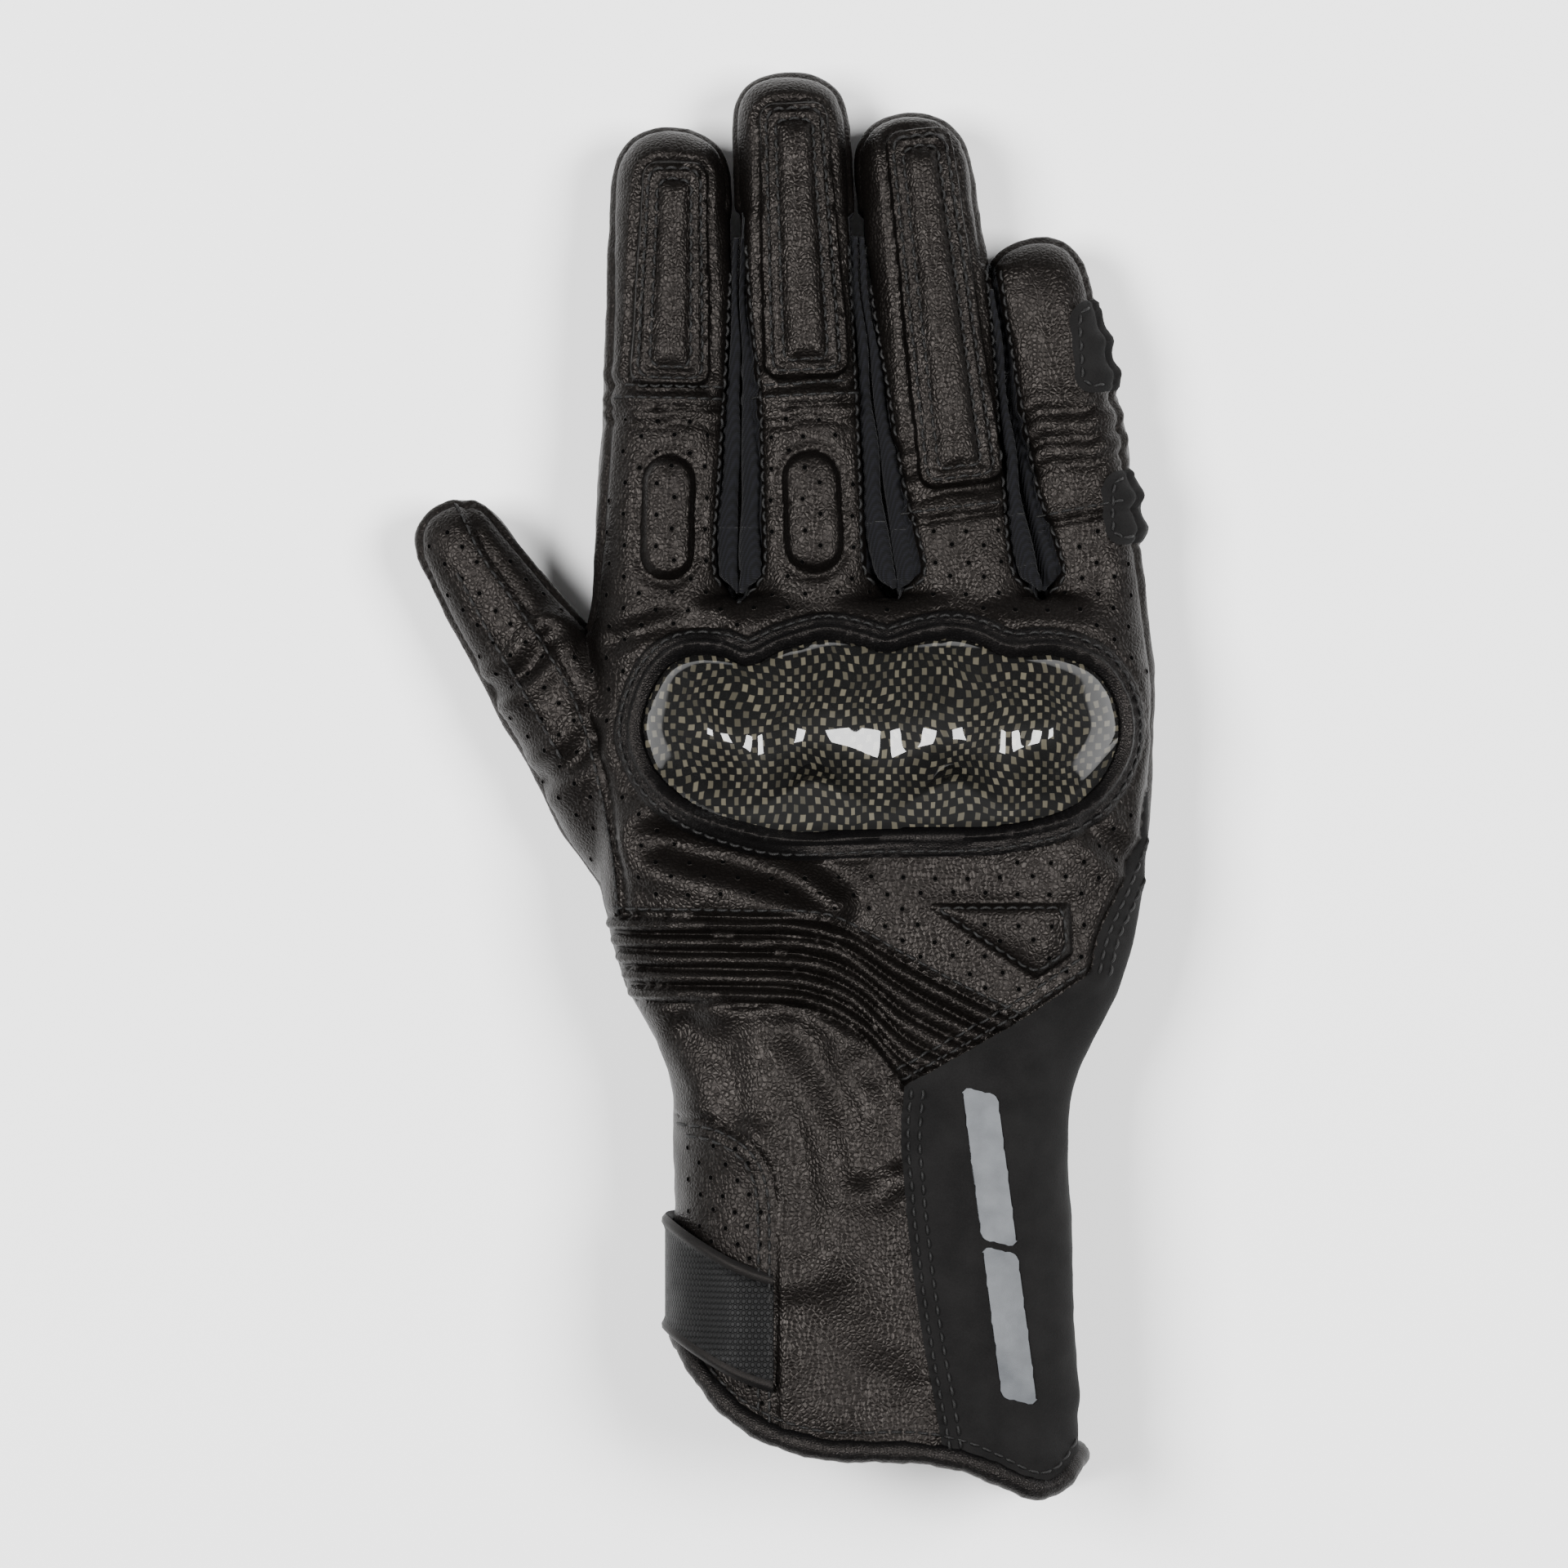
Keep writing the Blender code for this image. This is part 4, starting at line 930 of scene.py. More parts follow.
def carbon(name):
    """Plain weave of dark and khaki-grey tows under a clear gloss coat."""
    n = Nodes(name, roughness=0.5, specular_ior_level=0.08, coat_weight=1.0, coat_roughness=0.03,
              coat_ior=1.45)
    drift = n.add("ShaderNodeTexNoise",
                  {"Vector": n.coordinates, "Scale": 90.0, "Detail": 1.0}).outputs["Color"]
    lean = n.add("ShaderNodeVectorMath", {0: drift, 3: 0.0045}, operation="SCALE")
    place = n.add("ShaderNodeVectorMath", {0: n.coordinates, 1: lean.outputs[0]}, operation="ADD")
    axes = n.add("ShaderNodeSeparateXYZ", {0: place.outputs[0]})
    u = n.math("DIVIDE", axes.outputs[0], 1.22 * MM)
    v = n.math("DIVIDE", axes.outputs[1], 1.30 * MM)
    parity = n.math("FLOORED_MODULO", n.math("ADD", n.math("FLOOR", u), n.math("FLOOR", v)), 2.0)
    across = n.math("ABSOLUTE", n.math("SUBTRACT", n.math("FRACT", u), 0.5))
    along = n.math("ABSOLUTE", n.math("SUBTRACT", n.math("FRACT", v), 0.5))
    narrow = n.remap(across, 0.28, 0.37, 1.0, 0.0)
    short = n.remap(along, 0.37, 0.45, 1.0, 0.0)
    tick = n.math("MULTIPLY", n.math("MULTIPLY", narrow, short), parity)
    cell = n.add("ShaderNodeTexWhiteNoise", {"Vector": n.add("ShaderNodeCombineXYZ", {
        0: n.math("FLOOR", u), 1: n.math("FLOOR", v), 2: 0.0}).outputs[0]},
        noise_dimensions="3D").outputs[0]
    bright = n.math("MULTIPLY", tick, n.remap(cell, 0.0, 1.0, 0.3, 1.0))
    colour = n.mix(bright, (0.0012, 0.0012, 0.0011), (0.070, 0.063, 0.045))
    shine = n.remap(tick, 0.0, 1.0, 0.6, 0.4)
    return n.finish(colour, shine, tick, 0.06, 0.5)


def rubber(name):
    """Moulded rubber with small studs in staggered rows."""
    n = Nodes(name, roughness=0.55, specular_ior_level=0.13)
    axes = n.add("ShaderNodeSeparateXYZ", {0: n.coordinates})
    u = n.math("DIVIDE", n.math("ADD", axes.outputs[0], axes.outputs[2]), 1.15 * MM)
    v = n.math("DIVIDE", axes.outputs[1], 1.15 * math.sqrt(3) * MM)
    reach = []
    for shift in (0.0, 0.5):
        a = n.math("SUBTRACT", n.math("FRACT", n.math("ADD", u, shift)), 0.5)
        b = n.math("MULTIPLY", n.math("SUBTRACT", n.math("FRACT", n.math("ADD", v, shift)), 0.5),
                   math.sqrt(3))
        reach.append(n.math("SQRT", n.math("ADD", n.math("MULTIPLY", a, a), n.math("MULTIPLY", b, b))))
    stud = n.remap(n.math("MINIMUM", *reach), 0.30, 0.46, 1.0, 0.0)
    colour = n.mix(stud, (0.0008, 0.0008, 0.0009), (0.0034, 0.0034, 0.0035))
    return n.finish(colour, n.remap(n.noise(4.0), 0.3, 0.7, 0.48, 0.62), stud, 0.16)


def film(name):
    """Silver reflective film: fine glass beads with faint wear."""
    n = Nodes(name, roughness=0.55, specular_ior_level=0.3)
    bead = n.cells(0.18)
    colour = n.mix(n.remap(n.noise(3.0, 4.0), 0.35, 0.7), (0.064, 0.068, 0.074), (0.082, 0.087, 0.094))
    return n.finish(colour, None, bead, 0.02)


def make_materials():
    return {
        # each leather's second colour is the painted sheen on its pebble tops, against painted shade in the
        # creases
        "goat_leather": leather("goat_leather", (0.0012, 0.0010, 0.0009), (0.0034, 0.0028, 0.0025), 0.37),
        "palm_leather": leather("palm_leather", (0.0013, 0.0011, 0.0010), (0.0048, 0.0039, 0.0034), 0.44,
                                0.8, 0.06),
        "binding_leather": leather("binding_leather", (0.0010, 0.0010, 0.0011), (0.0030, 0.0029, 0.0031),
                                   0.42, 0.5, 0.05, 0.14),
        "perforated_leather": leather("perforated_leather", (0.0012, 0.0010, 0.0009),
                                      (0.0034, 0.0028, 0.0025), 0.39),
        "suede": suede("suede", (0.0018, 0.0017, 0.0017), (0.0080, 0.0076, 0.0075)),
        "stretch_textile": textile("stretch_textile", (0.0005, 0.0005, 0.0008), (0.0026, 0.0026, 0.0042)),
        "thread": thread("thread"),
        "painted_hole_shade": painted_hole_shade("painted_hole_shade"),
        "carbon_fibre": carbon("carbon_fibre"),
        "strap_rubber": rubber("strap_rubber"),
        "strap_rail": leather("strap_rail", (0.0018, 0.0018, 0.0019), (0.0036, 0.0036, 0.0037), 0.5, 0.3,
                              0.02, 0.13),
        "reflective_film": film("reflective_film"),
        "hook_and_loop": suede("hook_and_loop", (0.006, 0.006, 0.006), (0.03, 0.03, 0.03)),
        "lining": textile("lining", (0.010, 0.010, 0.011), (0.030, 0.030, 0.032)),
    }


PANEL_LOOKS = {  # any panel that isn't here is goat leather
    "palm": "palm_leather", "side": "stretch_textile", "bezel": "binding_leather",
    "guard_bed": "binding_leather",
    "ulnar": "suede", "cuff_ulnar": "suede", "cuff_palm": "palm_leather", "vent": "perforated_leather",
    "elastic": "stretch_textile", "little_upper_patch": "suede", "little_lower_patch": "suede",
    "palm_pad": "suede",
    "index_oval_pad": "perforated_leather", "middle_oval_pad": "perforated_leather",
}
STANDS_FOR = {  # the CAD nodes that each piece takes the place of
    "hand_back_skin": ["back_hand_panel", "hand_lining"],
    "hand_palm_skin": ["palm_panel"],
    "hand_ulnar_skin": ["ulnar_side_panel"],
    "hand_guard_bed_skin": ["guard_foam"],
    "hand_bezel_skin": ["guard_frame"],
    "knuckle_guard_shell": ["knuckle_guard"],
    "hand_patch_skin": ["back_hand_patch"],
    "hand_palm_pad_skin": ["palm_heel_pad"],
    "hand_thumb_back_skin": ["thumb_heel_panel"],
    "hand_ribs_skin": ["accordion_panel"],
    "hand_elastic_skin": ["wrist_elastic"],
    "hand_cuff_back_skin": ["cuff_back_panel", "cuff_lining"],
    "hand_cuff_ulnar_skin": ["cuff_ulnar_panel"],
    "hand_cuff_palm_skin": ["cuff_palm_panel"],
    "hand_vent_skin": ["cuff_vent_panel"],
    "cuff_hem_binding": ["cuff_binding"],
    "upper_reflective_bar": ["reflective_trim"],
    "wrist_strap": ["strap_anchor", "strap_tail"],
    "hook_patch_nap": ["hook_patch"],
    "loop_patch_nap": ["loop_patch"],
    "thumb_base_palm_skin": ["thumb_base_stall", "thumb_web_sleeve"],
    "thumb_tip_palm_skin": ["thumb_tip_stall", "thumb_joint_sleeve"],
    "index_base_index_oval_pad_skin": ["index_knuckle_pad"],
    "index_tip_index_tip_pad_skin": ["index_finger_pad"],
    "middle_base_middle_oval_pad_skin": ["middle_knuckle_pad"],
    "middle_tip_middle_tip_pad_skin": ["middle_finger_pad"],
    "ring_tip_ring_tip_pad_skin": ["ring_finger_pad"],
    "little_base_little_lower_patch_skin": ["little_base_patch"],
    "little_tip_little_upper_patch_skin": ["little_tip_patch"],
    "index_tip_side_skin": ["index_fourchette_right"],
    "middle_tip_side_skin": ["middle_fourchette_left", "middle_fourchette_right"],
    "ring_tip_side_skin": ["ring_fourchette_left", "ring_fourchette_right"],
    "little_tip_side_skin": ["little_fourchette_left"],
    **{f"{f}_base_back_skin": [f"{f}_base_stall", f"{f}_web_sleeve"] for f in FINGERS},
    **{f"{f}_tip_back_skin": [f"{f}_tip_back", f"{f}_joint_sleeve"] for f in FINGERS},
    **{f"{f}_tip_palm_skin": [f"{f}_tip_palm"] for f in FINGERS},
}


def shell_piece(name, surface, normals, chosen, looks, lining, thickness=SKIN_THICKNESS):
    """A panel as a closed shell: the outer skin, an inner skin and a rim along its edge."""
    faces = surface.faces[chosen]
    used, flat = np.unique(faces, return_inverse=True)
    faces = flat.reshape(-1, 3)
    outer = surface.points[used] * MM
    inner = outer - surface.up[used] * thickness * MM
    n = len(used)
    directed = np.vstack([faces[:, [0, 1]], faces[:, [1, 2]], faces[:, [2, 0]]]).astype(np.int64)
    keys = directed[:, 0] * n + directed[:, 1]
    lonely = directed[~np.isin(directed[:, 1] * n + directed[:, 0], keys)]
    a, b = lonely[:, 0], lonely[:, 1]
    rim = np.vstack([np.stack([b, a, a + n], axis=1), np.stack([b, a + n, b + n], axis=1)])
    everything = np.vstack([faces, faces[:, ::-1] + n, rim])
    mesh = bpy.data.meshes.new(name)
    mesh.vertices.add(2 * n)
    mesh.vertices.foreach_set("co", np.vstack([outer, inner]).ravel())
    mesh.loops.add(len(everything) * 3)
    mesh.loops.foreach_set("vertex_index", everything.ravel())
    mesh.polygons.add(len(everything))
    mesh.polygons.foreach_set("loop_start", np.arange(len(everything)) * 3)
    mesh.polygons.foreach_set("material_index",
                              np.r_[np.zeros(len(faces), int), np.ones(len(faces), int),
                                    np.zeros(len(rim), int)])
    mesh.update(calc_edges=True)
    mesh.materials.append(looks)
    mesh.materials.append(lining)
    mesh.shade_smooth()
    mesh.normals_split_custom_set_from_vertices(np.vstack([normals[used], -normals[used]]))
    thing = bpy.data.objects.new(name, mesh)
    bpy.context.scene.collection.objects.link(thing)
    return thing


def make_panels(surface, names, domains, looks):
    normals = surface.normals()
    for domain in sorted(set(domains)):
        for panel in sorted(set(names[domains == domain])):
            chosen = (names == panel) & (domains == domain)
            finish = PANEL_LOOKS.get(panel, "goat_leather")
            piece = shell_piece(f"{domain}_{panel}_skin", surface, normals, chosen, looks[finish],
                                looks["lining"])
            bend(piece, domain)


def tidy_names(names, domains, rise):
    """Gives scraps too small for a panel to the back or the palm of their domain."""
    for domain in set(domains):
        for panel in set(names[domains == domain]):
            chosen = (names == panel) & (domains == domain)
            if chosen.sum() < 60:
                names[chosen] = "palm" if rise[chosen].mean() < 0 else "back"


# ---------------------------------------------------------------- threads, holes and other pieces

class Skin:
    """The finished outer surface, for laying things on it."""

    def __init__(self, surface, names, domains):
        self.tree = BVHTree.FromPolygons(surface.points.tolist(), surface.faces.tolist())
        self.names, self.domains = names, domains

    def hit(self, x, y, below=False):
        """(point, normal, face) where a plumb line at x, y meets the top, or the underside."""
        start, way = ((x, y, -20.0), (0, 0, 1)) if below else ((x, y, 70.0), (0, 0, -1))
        return self.tree.ray_cast(Vector(start), Vector(way))[:3]


class Pile:
    """Collects small closed shapes as one mesh for each domain."""

    def __init__(self):
        self.parts = {}

    def add(self, domain, points, faces, slots=None):
        verts, polys, marks = self.parts.setdefault(domain, ([], [], []))
        first = len(verts)
        verts.extend(points)
        polys.extend([tuple(first + i for i in face) for face in faces])
        marks.extend(slots or [0] * len(faces))

    def make(self, name, materials):
        made = []
        for domain, (verts, polys, marks) in sorted(self.parts.items()):
            mesh = bpy.data.meshes.new(f"{domain}_{name}")
            mesh.from_pydata([tuple(Vector(v) * MM) for v in verts], [], polys)
            mesh.polygons.foreach_set("material_index", marks)
            for material in materials:
                mesh.materials.append(material)
            mesh.shade_smooth()
            thing = bpy.data.objects.new(f"{domain}_{name}", mesh)
            bpy.context.scene.collection.objects.link(thing)
            bend(thing, domain)
            made.append(thing)
        return made


def tube(path, radius, sides=8, flat=None):
    """Points and faces of a closed tube along a path; radius and flat may change from point to point."""
    path = [Vector(p) for p in path]
    points, faces = [], []
    count = len(path)
    for i, p in enumerate(path):
        way = (path[min(i + 1, count - 1)] - path[max(i - 1, 0)]).normalized()
        side = way.cross(Vector((0, 0, 1)))
        side = side.normalized() if side.length > 1e-6 else Vector((1, 0, 0))
        rise = side.cross(way)
        r = radius[i] if hasattr(radius, "__len__") else radius
        for k in range(sides):
            a = 2 * math.pi * k / sides
            points.append(p + side * (math.cos(a) * r) + rise * (math.sin(a) * r * (flat or 1.0)))
    for i in range(count - 1):
        for k in range(sides):
            m = (k + 1) % sides
            faces.append((i * sides + k, i * sides + m, (i + 1) * sides + m, (i + 1) * sides + k))
    faces.append(tuple(range(sides - 1, -1, -1)))
    faces.append(tuple(range((count - 1) * sides, count * sides)))
    return points, faces


def sew(pile, skin, line, below=False, pitch=STITCH_PITCH):
    """Threads along a plan line: each rises out of one needle hole and dips into the next."""
    stops = resample(line, pitch)
    for a, b in zip(stops, stops[1:]):
        path = []
        for t in (0.1, 0.2, 0.35, 0.5, 0.65, 0.8, 0.9):
            x, y = a + (b - a) * t
            point, normal, _ = skin.hit(x, y, below)
            if point is None or abs(normal.z) < 0.12:
                path = None
                break
            path.append(point + normal
                        * ((0.3 if below else 0.42) * math.sin(math.pi * (t - 0.1) / 0.8) - 0.1))
        if path and max((q - p).length for p, q in zip(path, path[1:])) < 1.2:
            middle = np.array([path[3][:2]])
            points, faces = tube(path, [THREAD_RADIUS * r for r in (0.6, 0.95, 1, 1, 1, 0.95, 0.6)], 6)
            pile.add(domain_of(middle)[0], points, faces)


def offset_line(line, distance):
    """The line moved sideways: to its left where distance is positive."""
    line = resample(line, 1.0)
    way = np.gradient(line, axis=0)
    way /= np.linalg.norm(way, axis=1)[:, None]
    return line + np.stack([-way[:, 1], way[:, 0]], axis=1) * distance


def box_outline(half_width, half_length, radius, count=9):
    corners = []
    for cx, cy, start in ((1, 1, 0), (-1, 1, 90), (-1, -1, 180), (1, -1, 270)):
        for k in range(count):
            a = math.radians(start + 90 * k / (count - 1))
            corners.append((cx * (half_width - radius) + radius * math.cos(a),
                            cy * (half_length - radius) + radius * math.sin(a)))
    return np.array(corners + corners[:1])


def pad_outline(name, inset):
    digit, s, across, half_width, half_length, radius, _, narrowing = PADS[name]
    loop = box_outline(half_width - inset, half_length - inset, max(radius - inset, 0.8))
    return np.array([DIGITS[digit].plan(s + y, across + x * (1 - narrowing * y / half_length)) for x,
                     y in loop])


def contour(distance, box, step=1.0):
    """Points of the zero line of a signed plan distance around its middle, anticlockwise."""
    (x0, y0), (x1, y1) = box
    middle = np.array([(x0 + x1) / 2, (y0 + y1) / 2])
    loop = []
    for a in np.linspace(0, 2 * np.pi, 361):
        way = np.array([np.cos(a), np.sin(a)])
        reach = np.linspace(0, max(x1 - x0, y1 - y0), 400)
        values = distance(middle + reach[:, None] * way)
        first = np.argmax(values > 0)
        loop.append(middle + reach[first] * way)
    return resample(loop, step)


def make_stitching(skin, looks):
    pile = Pile()
    for name in PADS:
        if "oval" not in name:
            for inset in (1.45, 3.3):
                sew(pile, skin, pad_outline(name, inset))
    for name in FINGERS:
        loft = DIGITS[name]
        half = loft.values(FLEX_SEAMS[name])[1] - 1.6
        rows = (1.7, 3.9) if name in ("index", "middle") else (1.7,)
        for rise in rows:
            s = FLEX_SEAMS[name] + rise
            sew(pile, skin, [loft.plan(s, -half), loft.plan(s, half)])
    rim = contour(lambda p: guard_distance(p) - 3.5, ((-60, -20), (60, 50)))
    sew(pile, skin, rim)
    patch = np.array(PATCH + PATCH[:1], float)
    middle = np.mean(PATCH, axis=0)
    sew(pile, skin, middle + (patch - middle) * 0.86)
    for name, offsets in (("ulnar", (1.3, 3.2)), ("cuff_top", (-1.3, -3.2)), ("cuff_side", (1.3, 3.2)),
                          ("vent", (-1.2, -3.0)), ("thumb", (-1.3,)), ("ribs_top", (1.3,))):
        for distance in offsets:
            sew(pile, skin, offset_line(CURVES[name], distance))
    for name in SIDE_PATCHES:
        start, end, inner = SIDE_PATCHES[name]
        loft = DIGITS["little"]
        line = [loft.plan(start + 1.3, 11.0), loft.plan(start + 1.3, inner + 2.6),
                loft.plan(start + 2.6, inner + 1.5),
                loft.plan(end - 2.6, inner + 3.0), loft.plan(end - 1.3, inner + 4.2),
                loft.plan(end - 1.3, 11.0)]
        sew(pile, skin, line)
    sew(pile, skin, curve_through([(-72.4, 43), (-66, 31), (-59.5, 20), (-53.8, 10)]))
    for name, rows in GAPS.items():
        end = SIDE_END[name]
        for column, side in ((1, -1.0), (2, 1.0)):
            line = [(row[column] + side, row[0]) for row in rows if row[0] < end]
            sew(pile, skin, curve_through(line))
    hem = [(x, y + 4.4) for x, y in HEM if abs(x) < 38]
    sew(pile, skin, curve_through(hem))
    sew(pile, skin, curve_through(hem), below=True)
    sew(pile, skin, box_outline(PALM_PAD_HALF[0] - 1.6, PALM_PAD_HALF[1] - 1.6, 7.4), below=True)
    for line in PALM_SEAMS:
        sew(pile, skin, offset_line(line, 1.5), below=True)
    for piece in pile.make("stitching", [looks["thread"]]):
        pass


PERFORATED = {"back", "thumb_back", "vent", "patch", "index_oval_pad", "middle_oval_pad"}


def make_perforations(skin, looks):
    """Perforations in staggered rows, each a raised rim round a dark disc of painted shade, set on the
    leather in place of the hole.
    """
    pile = Pile()
    spots = []
    for row, y in enumerate(np.arange(-104.0, 72.0, PERFORATION_ROW)):
        pitch = PERFORATION_PITCH if y > -47 else VENT_PITCH
        for x in np.arange(-80.0, 52.0, pitch) + (pitch / 2 if row % 2 else 0.0):
            spots.append((x + 0.25 * math.sin(row * 1.7 + x), y + 0.25 * math.cos(x * 0.9)))
    spots = np.array(spots)
    clear = guard_distance(spots) > BEZEL_WIDTH + 1.1
    for name in CURVES:
        clear &= polyline_distance(spots, CURVES[name])[0] > 2.0
    for name in GAPS:
        clear &= ~gap_zone(name, spots) | (gap_distance(name, spots) > 2.0)
    for name in PADS:
        distance = pad_distance(name, spots)
        clear &= (distance > 1.0) | (distance < -1.1)
    clear &= np.abs(polygon_distance(spots, PATCH)) > 1.4
    clear &= (spots[:, 1] < 30) | (side_patch_distance("little_lower_patch", spots) > 1.0)
    digit = digit_of(spots)
    for i, name in enumerate(FINGERS):
        along, _ = DIGITS[name].local(spots)
        clear &= (digit != i) | (along < FLEX_SEAMS[name] - 1.5)
    domains = domain_of(spots)
    for (x, y), domain in zip(spots[clear], domains[clear]):
        point, normal, face = skin.hit(x, y)
        if point is None or normal.z < 0.42 or skin.names[face] not in PERFORATED:
            continue
        a = normal.orthogonal().normalized()
        b = normal.cross(a)
        verts, faces, slots = [point - normal * 0.4], [], []
        profile = ((0.3, -0.4), (0.64, -0.12), (0.55, 0.06), (0.41, 0.07), (0.35, 0.03))
        sides = 10
        for r, h in profile:
            for k in range(sides):
                t = 2 * math.pi * k / sides
                verts.append(point + a * (r * math.cos(t)) + b * (r * math.sin(t)) + normal * h)
        # the disc of painted shade that stands for the hole, just above the skin
        verts.append(point + normal * 0.03)
        for k in range(sides):
            m = (k + 1) % sides
            faces.append((0, 1 + m, 1 + k))
            slots.append(0)
            for ring in range(len(profile) - 1):
                low = 1 + ring * sides
                faces.append((low + k, low + m, low + sides + m, low + sides + k))
                slots.append(0 if ring < 3 else 1)
            faces.append((1 + 4 * sides + k, 1 + 4 * sides + m, len(verts) - 1))
            slots.append(1)
        pile.add(domain, verts, faces, slots)
    # the second material is the painted shade of each hole
    for piece in pile.make("perforations", [looks["perforated_leather"], looks["painted_hole_shade"]]):
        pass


def flat_sheet(box, step, distance):
    """A level triangle grid cut to where the signed distance is negative."""
    (x0, y0), (x1, y1) = box
    xs, ys = np.arange(x0, x1, step), np.arange(y0, y1, step)
    points = np.array([(x, y, 0.0) for y in ys for x in xs])
    n = len(xs)
    faces = []
    for j in range(len(ys) - 1):
        for i in range(n - 1):
            k = j * n + i
            faces += [(k, k + 1, k + n + 1), (k, k + n + 1, k + n)]
    sheet = Surface(points, np.array(faces))
    sheet.up = np.tile((0.0, 0.0, 1.0), (len(points), 1))
    sheet.split(distance(sheet.points[:, :2]), snap=step * 0.2)
    sheet.faces = sheet.faces[distance(sheet.centres()[:, :2]) < 0]
    return sheet


CREST_ACROSS = [-42, -28, -19.8, -10.5, 2.6, 13.2, 23.5, 31.6, 44]
LOWER_EDGE = [(-41, 15), (-37, 8.5), (-31, 3.0), (-24, 0.6), (-16.5, 3.6), (-10, 6.6), (-4, 4.2),
              (2.2, 0.4), (8.5, 4.0),
              (14.5, 6.6), (20.5, 3.6), (27, 0.6), (34, 3.4), (39, 8.5), (43.5, 15)]


def guard_height(skin_top, xy):
    """The guard's outer face: four knuckle domes, with three tongues at their lower edge on a flat flange."""
    x, y = xy[:, 0], xy[:, 1]
    inside = np.maximum(-guard_distance(xy), 0)
    phase = np.interp(x, CREST_ACROSS, [0.0, 0.0, 0.5, 1.0, 1.5, 2.0, 2.5, 3.0, 3.0])
    crest = (0.5 + 0.5 * np.cos(2 * np.pi * phase)) ** 0.8
    edge = curve_through(LOWER_EDGE)
    above = np.clip((y - np.interp(x, edge[:, 0], edge[:, 1])) / 8.5, 0, 1)
    within = np.clip(inside / 13.0, 0, 1)
    body = np.sqrt(1 - (1 - above) ** 2.2) * (1 - (1 - within) ** 1.5)
    arch = 1.0 - ((y - 15.6) / 20.0) ** 2
    return skin_top + 1.0 + 0.5 * smooth(inside, 0.0,
                                         1.8) + body * (3.5 * arch + 3.4 * crest * smooth(y, 1.0, 13.0))


def make_guard(looks):
    sheet = flat_sheet(((-44, -6), (48, 36)), 0.5, lambda p: guard_distance(p) + 0.25)
    xy = sheet.points[:, :2]
    offset, half, low, high = HAND.values(xy[:, 1])
    middle, tall = (low + high) / 2, (high - low) / 2
    share = np.minimum(np.abs((xy[:, 0] - offset) / half), 0.98)
    top = middle + tall * (1 - share ** HAND.crown) ** (1 / HAND.crown)
    sheet.points[:, 2] = guard_height(top, xy)
    sheet.relax(3, 0.5)
    sheet.up = sheet.normals()
    chosen = np.ones(len(sheet.faces), bool)
    piece = shell_piece("knuckle_guard_shell", sheet, sheet.normals(), chosen, looks["carbon_fibre"],
                        looks["carbon_fibre"], GUARD_THICKNESS)
    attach(piece, "hand")
    return piece


def make_overlay(name, skin, box, distance, lift, thickness, material, domain, step=0.8):
    """A thin patch that lies on the skin where the signed distance is negative."""
    sheet = flat_sheet(box, step, distance)
    for i, (x, y, _) in enumerate(sheet.points):
        point = skin.hit(x, y)[0]
        if point is not None:
            sheet.points[i, 2] = point.z
    used = np.unique(sheet.faces)
    keep = np.zeros(len(sheet.points))
    keep[used] = 1.0
    sheet.points[:, 2] += lift
    sheet.relax(4, 0.5, keep * (distance(sheet.points[:, :2]) < -0.6))
    sheet.up = sheet.normals()
    piece = shell_piece(name, sheet, sheet.normals(), np.ones(len(sheet.faces), bool), material, material,
                        thickness)
    bend(piece, domain)
    return piece


def bar_distance(middle, turn):
    """A plain slanting bar with round corners."""
    c, n = math.cos(math.radians(turn)), math.sin(math.radians(turn))

    def distance(xy):
        x, y = xy[:, 0] - middle[0], xy[:, 1] - middle[1]
        along, across = y * c - x * n, x * c + y * n
        return rounded_box(across + 0.35 * along, along, 3.1, 12.5, 1.2)
    return distance


def make_reflective_bars(skin, looks):
    for name, middle in (("upper_reflective_bar", (20.5, -60.5)), ("lower_reflective_bar", (24.0, -88.0))):
        box = ((middle[0] - 12, middle[1] - 16), (middle[0] + 12, middle[1] + 16))
        piece = make_overlay(name, skin, box, bar_distance(middle, -12.0), 0.28, 0.5,
                             looks["reflective_film"], "cuff")


def make_binding(looks):
    """A rolled leather binding round the hem."""
    rows = np.array(HEM)
    path = []
    for i in range(181):
        a = 2 * math.pi * (i % 180) / 180
        x, y = 0.0, -108.0
        for _ in range(8):
            offset, half, low, high = HAND.values(y)
            power = 2 / (HAND.crown if math.sin(a) > 0 else HAND.belly)
            x = offset + (half + 0.1) * math.copysign(abs(math.cos(a)) ** power, math.cos(a))
            y = float(np.interp(x, rows[:, 0], rows[:, 1]))
        z = (low + high) / 2 + ((high - low) / 2 + 0.1) * math.copysign(abs(math.sin(a)) ** power,
                                                                        math.sin(a))
        path.append((x, y + 1.0, z))
    path = resample(path, 1.2)
    for _ in range(6):
        path[1:-1] = path[1:-1] * 0.5 + (path[:-2] + path[2:]) * 0.25
    pile = Pile()
    radius = [2.0 + 0.12 * math.sin(i * 0.9) + 0.08 * math.sin(i * 2.3) for i in range(len(path))]
    points, faces = tube(path, radius, 14)
    pile.add("cuff", points, faces)
    piece, = pile.make("hem_binding", [looks["binding_leather"]])


